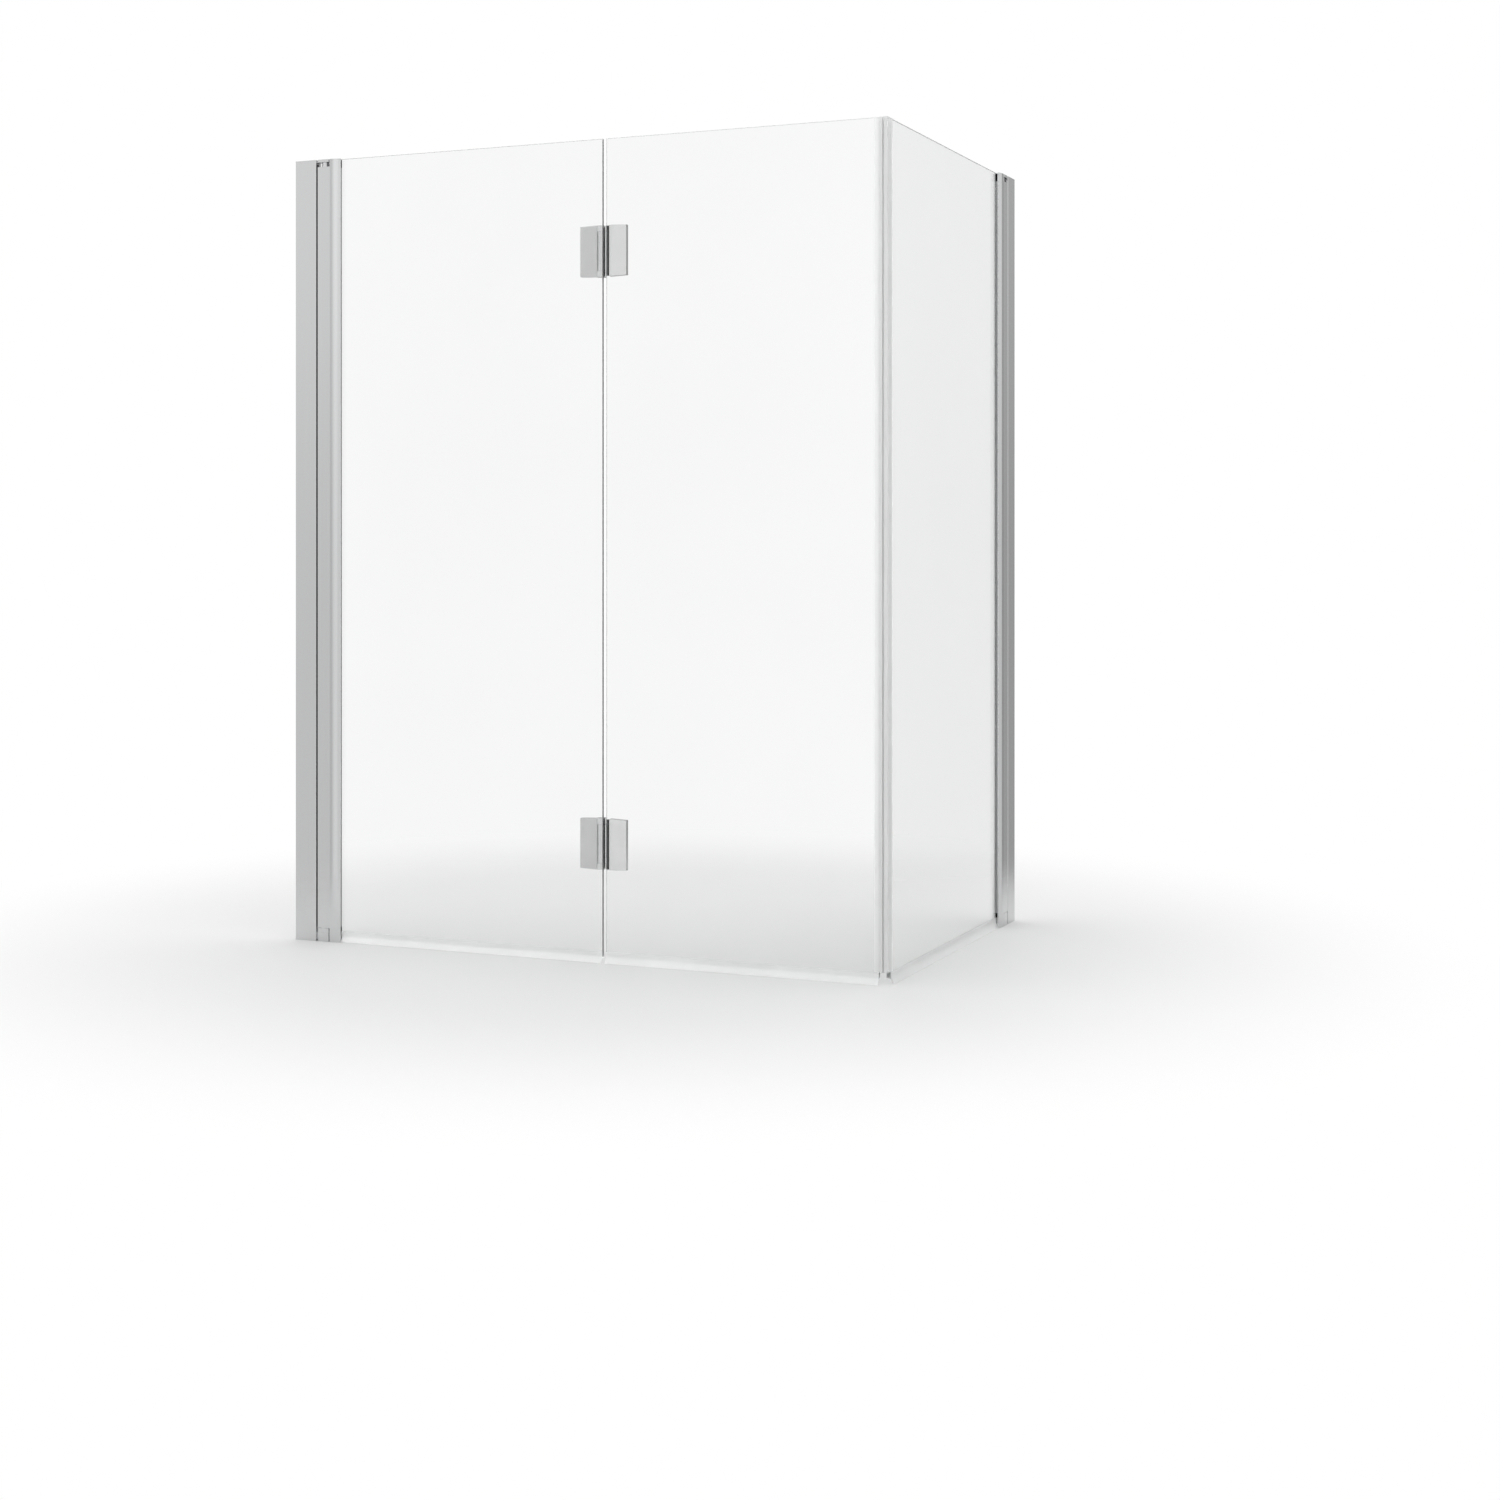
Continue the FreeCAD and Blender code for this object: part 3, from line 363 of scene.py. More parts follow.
def draw_outline(name, corners, sweep):
    """A prism drawn corner by corner. A corner is a point, or an arc about +Z: its centre, its
    angle and its steps."""
    deselect()
    bpy.ops.mesh.primitive_plane_add(size=DOT, location=corners[0])
    piece = settle_primitive(name)
    bpy.ops.mesh.select_mode(type="VERT")
    bpy.ops.mesh.select_all(action="SELECT")
    bpy.ops.mesh.merge(type="CENTER")
    here = Vector(corners[0])
    for corner in corners[1:] + corners[:1]:
        if not isinstance(corner[0], tuple):
            step = Vector(corner) - here
            if step.length > STILL:
                bpy.ops.mesh.extrude_vertices_move(TRANSFORM_OT_translate={"value": step})
            here = Vector(corner)
            continue
        centre, angle, steps = corner
        bpy.ops.mesh.spin(steps=steps, angle=-angle, center=centre, axis=UP)
        mesh = bmesh.from_edit_mesh(piece.data)
        here = next(point.co.copy() for point in mesh.verts if point.select)
    bpy.ops.mesh.select_all(action="SELECT")
    bpy.ops.mesh.remove_doubles(threshold=WELD)
    bpy.ops.mesh.edge_face_add()
    bpy.ops.mesh.extrude_region_move(TRANSFORM_OT_translate={"value": sweep})
    bpy.ops.mesh.select_all(action="SELECT")
    bpy.ops.mesh.normals_make_consistent(inside=False)
    return piece


def apply_modifier(piece, kind, **settings):
    make_active(piece)
    modifier = piece.modifiers.new(kind.lower(), kind)
    for name, value in settings.items():
        setattr(modifier, name, value)
    bpy.ops.object.modifier_apply(modifier=modifier.name)


def combine(piece, others, operation):
    """Joins other shapes to a piece, or cuts them out of it, and removes them."""
    leave_edit_mode()
    for other in others:
        apply_modifier(piece, "BOOLEAN", operation=operation, solver="EXACT", object=other)
        bpy.data.objects.remove(other)


def join(pieces):
    """Makes one object of several and returns it."""
    make_active(pieces[0])
    for piece in pieces[1:]:
        piece.select_set(True)
    bpy.ops.object.join()
    return pieces[0]


def weigh_normals(piece):
    """Lets the large faces of a piece stay flat beside its rounded edges."""
    apply_modifier(piece, "WEIGHTED_NORMAL", keep_sharp=True, weight=NORMAL_WEIGHT)


def ease(piece, width, segments=2, angle=EASE_ANGLE):
    """Rounds the sharp edges of a piece and keeps its flat faces flat."""
    leave_edit_mode()
    if width:
        apply_modifier(piece, "BEVEL", width=width, segments=segments, limit_method="ANGLE",
                       angle_limit=math.radians(angle), miter_outer="MITER_ARC")
    make_active(piece)
    bpy.ops.object.shade_smooth_by_angle(angle=math.radians(SMOOTH_ANGLE))
    weigh_normals(piece)


def finish(piece, node, material):
    """Gives a piece its finish, and lets it stand for its node and ride with it."""
    leave_edit_mode()
    piece.data.materials.clear()
    piece.data.materials.append(surface(material))
    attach(piece, frame["nodes"][node]["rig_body"])
    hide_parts(node)


def copied(piece, name):
    twin = piece.copy()
    twin.data = piece.data.copy()
    twin.name = name
    twin.data.name = name
    twin.parent = None
    bpy.context.scene.collection.objects.link(twin)
    return twin


def moved_copy(piece, name, step):
    """A copy further along, with its place in its mesh."""
    twin = copied(piece, name)
    make_active(twin)
    bpy.ops.object.mode_set(mode="EDIT")
    bpy.ops.mesh.select_all(action="SELECT")
    bpy.ops.transform.translate(value=step)
    leave_edit_mode()
    return twin


def back_copy(piece, name):
    """The same piece for the back post: mirrored, turned and set down at the back wall."""
    twin = copied(piece, name)
    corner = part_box("back_wall_profile_bottom_cap")
    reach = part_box("left_wall_profile_bottom_cap")
    east = corner[1].x + reach[0].y
    north = corner[1].y + reach[0].x
    for point in twin.data.vertices:
        x, y, z = point.co
        point.co = (east - y, north - x, z)
    twin.data.flip_normals()
    make_active(twin)
    bpy.ops.mesh.customdata_custom_splitnormals_clear()
    weigh_normals(twin)
    return twin


def both_posts(piece, node, material):
    """Finishes a piece of the left post and its twin at the back."""
    twin = back_copy(piece, f"back_{piece.name.removeprefix('left_')}")
    finish(piece, f"left_{node}", material)
    finish(twin, f"back_{node}", material)


# Finishes


def mask_group(name, output, **inputs):
    """A new node group that gives one value: its nodes, links, entry, exit and place on a piece."""
    group = bpy.data.node_groups.new(name, "ShaderNodeTree")
    for label, value in inputs.items():
        kind = "NodeSocketVector" if isinstance(value, tuple) else "NodeSocketFloat"
        socket = group.interface.new_socket(name=label, in_out="INPUT", socket_type=kind)
        socket.default_value = value
    group.interface.new_socket(name=output, in_out="OUTPUT", socket_type="NodeSocketFloat")
    entry = group.nodes.new("NodeGroupInput")
    leave = group.nodes.new("NodeGroupOutput")
    place = group.nodes.new("ShaderNodeTexCoord")
    return group.nodes, group.links, entry, leave, place.outputs["Object"]


def soft_step(nodes, start, stop):
    """A node that rises smoothly from nought to one between two values."""
    step = nodes.new("ShaderNodeMapRange")
    step.interpolation_type = "SMOOTHSTEP"
    step.inputs["From Min"].default_value = start
    step.inputs["From Max"].default_value = stop
    return step


def drawn_lines_group():
    """Fine lines left by drawing, turning or extruding, finest across the grain."""
    nodes, links, entry, leave, place = mask_group(
        "Drawn lines", "Lines", Grain=(900.0, 900.0, 2.0), Contrast=1.0)
    scaled = nodes.new("ShaderNodeVectorMath")
    scaled.operation = "MULTIPLY"
    noise = nodes.new("ShaderNodeTexNoise")
    noise.inputs["Scale"].default_value = 1.0
    noise.inputs["Detail"].default_value = 3.0
    noise.inputs["Roughness"].default_value = 0.65
    spread = nodes.new("ShaderNodeMath")
    spread.operation = "MULTIPLY_ADD"
    spread.use_clamp = True
    low = nodes.new("ShaderNodeMath")
    low.operation = "MULTIPLY_ADD"
    low.inputs[1].default_value = -0.5
    low.inputs[2].default_value = 0.5
    links.new(place, scaled.inputs[0])
    links.new(entry.outputs["Grain"], scaled.inputs[1])
    links.new(scaled.outputs[0], noise.inputs["Vector"])
    links.new(noise.outputs["Fac"], spread.inputs[0])
    links.new(entry.outputs["Contrast"], spread.inputs[1])
    links.new(entry.outputs["Contrast"], low.inputs[0])
    links.new(low.outputs[0], spread.inputs[2])
    links.new(spread.outputs[0], leave.inputs["Lines"])


def surface_marks_group():
    """Soft patches where water, wiping and hands have left a surface slightly duller."""
    nodes, links, entry, leave, place = mask_group("Surface marks", "Marks", Size=8.0)
    noise = nodes.new("ShaderNodeTexNoise")
    noise.inputs["Detail"].default_value = 5.0
    noise.inputs["Roughness"].default_value = 0.6
    spread = soft_step(nodes, 0.36, 0.66)
    links.new(place, noise.inputs["Vector"])
    links.new(entry.outputs["Size"], noise.inputs["Scale"])
    links.new(noise.outputs["Fac"], spread.inputs["Value"])
    links.new(spread.outputs["Result"], leave.inputs["Marks"])


def moulded_grain_group():
    """The fine matt grain of moulded rubber and plastic."""
    nodes, links, entry, leave, place = mask_group("Moulded grain", "Height", Size=1500.0)
    grain = nodes.new("ShaderNodeTexNoise")
    grain.inputs["Detail"].default_value = 2.0
    links.new(place, grain.inputs["Vector"])
    links.new(entry.outputs["Size"], grain.inputs["Scale"])
    links.new(grain.outputs["Fac"], leave.inputs["Height"])


class Finish:
    """A material under construction, with the node calls that each finish uses."""

    def __init__(self, name):
        self.material = bpy.data.materials.new(f"{name}_finish")
        self.material.use_nodes = True
        self.nodes = self.material.node_tree.nodes
        self.links = self.material.node_tree.links
        self.shader = self.nodes["Principled BSDF"]
        self.output = self.nodes["Material Output"]

    def set(self, **values):
        for name, value in values.items():
            self.shader.inputs[name.replace("_", " ")].default_value = value

    def group(self, name, **values):
        node = self.nodes.new("ShaderNodeGroup")
        node.node_tree = bpy.data.node_groups[name]
        for socket, value in values.items():
            node.inputs[socket].default_value = value
        return node.outputs[0]

    def colour_between(self, mask, first, second):
        mix = self.nodes.new("ShaderNodeMix")
        mix.data_type = "RGBA"
        mix.inputs[6].default_value = (*first, 1.0)
        mix.inputs[7].default_value = (*second, 1.0)
        self.links.new(mask, mix.inputs[0])
        self.links.new(mix.outputs[2], self.shader.inputs["Base Color"])

    def roughness_between(self, mask, low, high):
        spread = self.nodes.new("ShaderNodeMapRange")
        spread.inputs["To Min"].default_value = low
        spread.inputs["To Max"].default_value = high
        self.links.new(mask, spread.inputs["Value"])
        self.links.new(spread.outputs["Result"], self.shader.inputs["Roughness"])

    def relief(self, height, strength):
        bump = self.nodes.new("ShaderNodeBump")
        bump.inputs["Strength"].default_value = strength
        bump.inputs["Distance"].default_value = RELIEF_DEPTH
        self.links.new(height, bump.inputs["Height"])
        self.links.new(bump.outputs["Normal"], self.shader.inputs["Normal"])

    def let_lamps_through(self, tint):
        """Lets the lamps reach what lies behind a clear piece."""
        path = self.nodes.new("ShaderNodeLightPath")
        clear = self.nodes.new("ShaderNodeBsdfTransparent")
        clear.inputs["Color"].default_value = (*tint, 1.0)
        mix = self.nodes.new("ShaderNodeMixShader")
        self.links.new(path.outputs["Is Shadow Ray"], mix.inputs[0])
        self.links.new(self.shader.outputs[0], mix.inputs[1])
        self.links.new(clear.outputs[0], mix.inputs[2])
        self.links.new(mix.outputs[0], self.output.inputs["Surface"])


def surface(name):
    return bpy.data.materials[f"{name}_finish"]


def shade(colour, factor):
    return tuple(min(1.0, channel * factor) for channel in colour)


def satin_aluminium():
    look = Finish("satin_aluminium")
    colour = tuple(colours().aluminium)
    lines = look.group("Drawn lines", Grain=(1400.0, 1400.0, 3.0), Contrast=1.4)
    look.colour_between(lines, shade(colour, 0.96), shade(colour, 1.04))
    look.roughness_between(lines, 0.13, 0.18)
    look.relief(lines, 0.05)
    look.set(Metallic=1.0)


def chrome():
    look = Finish("chrome")
    colour = tuple(colours().chrome)
    marks = look.group("Surface marks", Size=40.0)
    look.colour_between(marks, colour, shade(colour, 0.97))
    look.roughness_between(marks, 0.21, 0.26)
    look.set(Metallic=1.0)


def leaf_faces():
    """The leaves' faces as they show through their bonds, with painted reflection: the fixed faces
    darker and the moving faces lighter than the one chrome. Also their narrow faces, painted darker
    than the chrome as painted shade.
    """
    for name, colour in (
        ("fixed_bond", tuple(colours().shaded_fixed_face)),
        ("moving_bond", tuple(colours().lit_moving_face)),
        # Painted shade: the free sides and the top and bottom ends of the chrome leaves are darker
        # copies of the chrome.
        ("leaf_side", (0.62, 0.62, 0.62)),
        ("leaf_end", (0.28, 0.28, 0.28)),
    ):
        look = Finish(name)
        marks = look.group("Surface marks", Size=60.0)
        look.colour_between(marks, colour, shade(colour, 0.97))
        look.roughness_between(marks, 0.16, 0.22)
        look.set(Metallic=1.0)


def turned_steel():
    look = Finish("steel")
    lines = look.group("Drawn lines", Grain=(60.0, 60.0, 2500.0), Contrast=1.6)
    look.colour_between(lines, (0.58, 0.58, 0.59), (0.70, 0.70, 0.71))
    look.roughness_between(lines, 0.18, 0.26)
    look.relief(lines, 0.08)
    look.set(Metallic=1.0)


def clear_glass():
    look = Finish("clear_glass")
    marks = look.group("Surface marks", Size=3.0)
    look.colour_between(marks, (0.958, 0.954, 0.955), (0.950, 0.946, 0.947))
    edge = look.nodes.new("ShaderNodeAttribute")
    edge.attribute_name = "ground_edge"
    look.roughness_between(edge.outputs["Fac"], 0.0, 0.4)
    look.set(IOR=1.5, Transmission_Weight=1.0, Specular_IOR_Level=0.1)
    volume = look.nodes.new("ShaderNodeVolumeAbsorption")
    volume.inputs["Color"].default_value = (0.55, 0.74, 0.68, 1.0)
    volume.inputs["Density"].default_value = 6.0
    look.links.new(volume.outputs[0], look.output.inputs["Volume"])
    look.let_lamps_through((0.965, 0.975, 0.97))


def clear_plastic():
    """The frosted plastic of the corner strips, drawn along their length, and of the seals."""
    colour = tuple(colours().plastic)
    for name, pattern, values in (
        ("clear_plastic", "Drawn lines", {"Grain": (500.0, 500.0, 4.0), "Contrast": 1.2}),
        ("seal_plastic", "Surface marks", {"Size": 12.0}),
    ):
        look = Finish(name)
        mask = look.group(pattern, **values)
        look.colour_between(mask, shade(colour, 0.97), colour)
        look.roughness_between(mask, 0.30, 0.36)
        look.set(IOR=1.35, Transmission_Weight=0.8, Specular_IOR_Level=0.2)
        look.let_lamps_through((0.88, 0.88, 0.88))


def moulded_pieces():
    """The rubber and plastic with a moulded grain."""
    gasket = tuple(colours().gasket)
    rubber = tuple(colours().rubber)
    for name, size, first, second, roughness, strength, specular in (
        ("grey_gasket", 1800.0, shade(gasket, 0.9), shade(gasket, 1.1), (0.5, 0.7), 0.15, 0.5),
        ("pale_gasket", 1800.0, (0.66, 0.66, 0.65), (0.74, 0.74, 0.73), (0.4, 0.55), 0.1, 0.5),
        ("black_rubber", 2200.0, shade(rubber, 0.7), shade(rubber, 1.4), (0.55, 0.7), 0.2, 0.05),
        ("white_plastic", 1500.0, (0.76, 0.76, 0.75), (0.80, 0.80, 0.79), (0.35, 0.5), 0.08, 0.5),
    ):
        look = Finish(name)
        grain = look.group("Moulded grain", Size=size)
        look.colour_between(grain, first, second)
        look.roughness_between(grain, *roughness)
        look.relief(grain, strength)
        look.set(Specular_IOR_Level=specular)


def magnet_bar():
    look = Finish("magnet_bar")
    lines = look.group("Drawn lines", Grain=(700.0, 700.0, 3.0), Contrast=1.0)
    look.colour_between(lines, (0.775, 0.785, 0.78), (0.825, 0.835, 0.83))
    look.roughness_between(lines, 0.4, 0.55)
    look.relief(lines, 0.05)


def white_for_camera(nodes, links):
    """One for rays from the camera, straight or through glass, and nought for the rest."""
    path = nodes.new("ShaderNodeLightPath")
    either = nodes.new("ShaderNodeMath")
    either.operation = "MAXIMUM"
    links.new(path.outputs["Is Camera Ray"], either.inputs[0])
    links.new(path.outputs["Is Transmission Ray"], either.inputs[1])
    return either.outputs[0]


def pale_floor():
    """A pale floor that keeps the screen's shadow and fades away further off: to white for the
    camera, and to the studio for the rest."""
    look = Finish("pale_floor")
    colour = tuple(colours().floor)
    grain = look.group("Moulded grain", Size=90.0)
    look.colour_between(grain, shade(colour, 0.995), shade(colour, 1.005))
    look.set(Roughness=0.6)
    nodes, links = look.nodes, look.links
    place = nodes.new("ShaderNodeTexCoord")
    centred = nodes.new("ShaderNodeMapping")
    centred.inputs["Location"].default_value = -SCREEN_MIDDLE
    distance = nodes.new("ShaderNodeVectorMath")
    distance.operation = "LENGTH"
    fade = soft_step(nodes, *FLOOR_FADE)
    white = nodes.new("ShaderNodeEmission")
    gone = nodes.new("ShaderNodeBsdfTransparent")
    beyond = nodes.new("ShaderNodeMixShader")
    mix = nodes.new("ShaderNodeMixShader")
    links.new(place.outputs["Object"], centred.inputs["Vector"])
    links.new(centred.outputs["Vector"], distance.inputs[0])
    links.new(distance.outputs["Value"], fade.inputs["Value"])
    links.new(white_for_camera(nodes, links), beyond.inputs[0])
    links.new(gone.outputs[0], beyond.inputs[1])
    links.new(white.outputs[0], beyond.inputs[2])
    links.new(fade.outputs["Result"], mix.inputs[0])
    links.new(look.shader.outputs[0], mix.inputs[1])
    links.new(beyond.outputs[0], mix.inputs[2])
    links.new(mix.outputs[0], look.output.inputs["Surface"])


class SCREEN_OT_finishes(bpy.types.Operator):
    """Build the finishes and give them to the CAD nodes"""

    bl_idname = "bath_screen.finishes"
    bl_label = "Finishes"

    def execute(self, context):
        drawn_lines_group()
        surface_marks_group()
        moulded_grain_group()
        for build in (satin_aluminium, chrome, leaf_faces, turned_steel, clear_glass,
                      clear_plastic, moulded_pieces, magnet_bar, pale_floor):
            build()
        for name, node in frame["nodes"].items():
            node.data.materials.clear()
            node.data.materials.append(surface(FINISH_OF[name]))
        return {"FINISHED"}


POST_FINISHES = {
    "wall_channel": "satin_aluminium",
    "wall_profile": "satin_aluminium",
    "wall_profile_bottom_cap": "satin_aluminium",
    "wall_profile_top_cap": "satin_aluminium",
    "clamp_screws": "steel",
    "top_arm": "satin_aluminium",
    "bottom_arm": "satin_aluminium",
    "arm_screws": "steel",
    "top_pivot_pin": "steel",
    "bottom_pivot_pin": "steel",
    "bearing_ring": "satin_aluminium",
    "thrust_washer": "white_plastic",
    "pivot_profile": "satin_aluminium",
    "pivot_profile_top_cap": "satin_aluminium",
    "pivot_profile_bottom_cap": "satin_aluminium",
    "pivot_bushes": "white_plastic",
    "outer_gasket": "grey_gasket",
    "inner_gasket": "pale_gasket",
    "gasket_plugs": "black_rubber",
}

FINISH_OF = {
    f"{post}_{name}": finish_name
    for post in ("left", "back") for name, finish_name in POST_FINISHES.items()
}
FINISH_OF.update({
    "front_inner_glass": "clear_glass",
    "front_outer_glass": "clear_glass",
    "side_glass": "clear_glass",
    "front_inner_seal": "seal_plastic",
    "front_outer_seal": "seal_plastic",
    "side_seal": "seal_plastic",
    "front_corner_strip": "clear_plastic",
    "side_corner_strip": "clear_plastic",
    "front_corner_magnet": "magnet_bar",
    "side_corner_magnet": "magnet_bar",
    # The bonds carry the leaves' faces with painted shade on the fixed leaves and a painted
    # reflection on the moving ones.
    "fixed_leaf_bonds": "fixed_bond",
    "moving_leaf_bonds": "moving_bond",
    "hinge_buffers": "black_rubber",
})
for end in ("lower", "upper"):
    FINISH_OF.update({
        f"{end}_hinge_fixed_leaf": "chrome",
        f"{end}_hinge_moving_leaf": "chrome",
        f"{end}_hinge_pin": "steel",
        f"{end}_hinge_sleeve": "white_plastic",
    })


# Posts


def screw_places():
    """Reach, height and head radius of the screws of the left post, from its frame nodes."""
    places = []
    for node in ("left_clamp_screws", "left_arm_screws"):
        low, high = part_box(node)
        radius = (high.x - low.x) / 2
        heights = [low.z + radius, high.z - radius]
        if node == "left_clamp_screws":
            heights.insert(1, (low.z + high.z) / 2)
        places += [((low.x + high.x) / 2, height, radius) for height in heights]
    return places


class SCREEN_OT_wall_profiles(bpy.types.Operator):
    """Model the wall profiles with their countersinks and end caps"""

    bl_idname = "bath_screen.wall_profiles"
    bl_label = "Wall profiles"

    def execute(self, context):
        wall = sizes().profile_wall
        edge = sizes().profile_edge
        low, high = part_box("left_wall_profile")

        profile = add_box("left_box_profile", low, high)
        pick(profile, "FACE", lambda middle, normal: normal.x < -ALONG)
        bpy.ops.mesh.inset(thickness=wall, use_even_offset=True)
        depth = high.x - low.x - wall
        bpy.ops.mesh.extrude_region_move(TRANSFORM_OT_translate={"value": (depth, 0.0, 0.0)})
        round_upright(profile, high.x, edge)
        sinks = [
            add_lying_cone(f"sink_{number}", x, z, radius * SINK_FLOOR, radius + SINK_ROOM,
                           high.y + SINK_OVERRUN, SINK_SIDES)
            for number, (x, z, radius) in enumerate(screw_places(), start=1)
        ]
        combine(profile, sinks, "DIFFERENCE")
        ease(profile, 0.0)
        both_posts(profile, "wall_profile", "satin_aluminium")

        for end in ("bottom", "top"):
            node = f"wall_profile_{end}_cap"
            low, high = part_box(f"left_{node}")
            cap = add_box(f"left_{end}_cap", low, high)
            round_upright(cap, high.x, edge)
            ease(cap, sizes().shut_edge)
            both_posts(cap, node, "satin_aluminium")
        return {"FINISHED"}


def arm_head(name, low, high):
    """A prism flush with the post: rounded on the wall side, it ends in an arc about the axis."""
    axis = AXES["front_swing"]
    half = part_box("left_wall_profile")[1].y
    ring_low, ring_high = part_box("left_bearing_ring")
    reach = math.sqrt((ring_high.x - axis.x) ** 2 - half ** 2)
    corners = [
        (ring_low.x, -half, low),
        (axis.x + reach, -half, low),
        ((axis.x, axis.y, low), 2 * math.atan2(half, reach), ARC_STEPS),
        (ring_low.x, half, low),
    ]
    head = draw_outline(name, corners, (0.0, 0.0, high - low))
    round_upright(head, ring_low.x, sizes().profile_edge)
    return head


class SCREEN_OT_arms(bpy.types.Operator):
    """Model the arms, the bearing rings and the pivot pins"""

    bl_idname = "bath_screen.arms"
    bl_label = "Arms and pins"

    def execute(self, context):
        axis = AXES["front_swing"]
        profile_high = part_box("left_wall_profile")[1]
        inner_half = profile_high.y - sizes().profile_wall - TONGUE_ROOM
        ring_low, ring_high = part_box("left_bearing_ring")
        pin_low, pin_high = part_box("left_top_pivot_pin")
        pin_radius = (pin_high.x - pin_low.x) / 2

        for end in ("top", "bottom"):
            low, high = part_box(f"left_{end}_arm")
            if end == "top":
                head_low, head_high = pin_high.z - PIN_SEAT, high.z
                foot, top = low.z, high.z - TOP_TONGUE_DROP
            else:
                head_low, head_high = low.z, ring_low.z
                foot, top = low.z + FOOT_TONGUE_RISE, high.z
            head = arm_head(f"left_{end}_arm_piece", head_low, head_high)
            ease(head, sizes().shut_edge, angle=ARM_EASE_ANGLE)
            tongue = add_box("tongue", (low.x, -inner_half, foot),
                             (profile_high.x - TONGUE_ROOM, inner_half, top))
            neck = add_box("neck", (low.x, -NECK_HALF, max(foot, head_low)),
                           (ring_low.x + LAP, NECK_HALF, min(top, head_high)))
            combine(head, [tongue, neck], "UNION")
            ease(head, 0.0)
            both_posts(head, f"{end}_arm", "satin_aluminium")

        ring = arm_head("left_ring_piece", ring_low.z, ring_high.z)
        bore = add_rod("bore", axis.x, axis.y, pin_radius + RING_ROOM,
                       ring_low.z - OVERRUN, ring_high.z + OVERRUN)
        combine(ring, [bore], "DIFFERENCE")
        ease(ring, sizes().shut_edge, angle=ARM_EASE_ANGLE)
        both_posts(ring, "bearing_ring", "satin_aluminium")

        for end in ("top", "bottom"):
            node = f"left_{end}_pivot_pin"
            low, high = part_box(node)
            pin = add_rod(f"left_{end}_pin_piece", axis.x, axis.y, pin_radius, low.z, high.z)
            pick(pin, "EDGE", lambda middle, way: abs(way.z) < ACROSS)
            bevel(PIN_CHAMFER, 1)
            ease(pin, 0.0)
            both_posts(pin, f"{end}_pivot_pin", "steel")
        return {"FINISHED"}


class SCREEN_OT_screws(bpy.types.Operator):
    """Model one countersunk screw with its socket and set its copies"""

    bl_idname = "bath_screen.screws"
    bl_label = "Screws"

    def execute(self, context):
        places = screw_places()
        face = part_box("left_wall_profile")[1].y
        x, z, radius = places[0]
        shank = add_lying_rod("screw", x, z, SHANK_RADIUS, face - SCREW_LENGTH,
                              face - HEAD_DEPTH + HEAD_LAP, SHANK_SIDES)
        head = add_lying_cone("screw_head", x, z, SHANK_RADIUS, radius, face, HEAD_SIDES)
        pick(head, "EDGE", lambda middle, way: middle.y > face - NEAR)
        bevel(HEAD_RIM, 2)
        socket = add_lying_rod("socket", x, z, SOCKET_RADIUS, face - SOCKET_DEPTH,
                               face + SOCKET_DEPTH, SOCKET_SIDES)
        combine(head, [socket], "DIFFERENCE")
        screw = join([shank, head])
        ease(screw, 0.0)
        for node, wanted in (("clamp_screws", places[:3]), ("arm_screws", places[3:])):
            screws = join([
                moved_copy(screw, f"left_{node}_{number}", (px - x, 0.0, pz - z))
                for number, (px, pz, _) in enumerate(wanted, start=1)
            ])
            screws.name = f"left_{node}_piece"
            both_posts(screws, node, "steel")
        bpy.data.objects.remove(screw)
        return {"FINISHED"}


def nose_corners(level, grooved):
    """Outline of the turning profile from its notch round the nose, with or without the groove."""
    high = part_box("left_pivot_profile")[1]
    half = high.y
    notch_x = AXES["front_swing"].x + NOTCH_REACH
    groove_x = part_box("front_inner_glass")[0].x - GLASS_ROOM
    outer_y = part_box("left_outer_gasket")[0].y
    gasket_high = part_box("left_inner_gasket")[1]
    inner_x = gasket_high.x + GASKET_INSET
    run = high.x - notch_x
    radius = (run * run + NOSE_DROP * NOSE_DROP) / (2 * NOSE_DROP)
    corners = [
        (notch_x, -half, level),
        ((notch_x, radius - half, level), math.asin(run / radius), NOSE_STEPS),
        (high.x, outer_y, level),
    ]
    if grooved:
        corners += [
            (groove_x, outer_y, level),
            (groove_x, gasket_high.y, level),
            (inner_x, gasket_high.y, level),
        ]
    return corners + [(inner_x, half, level)]


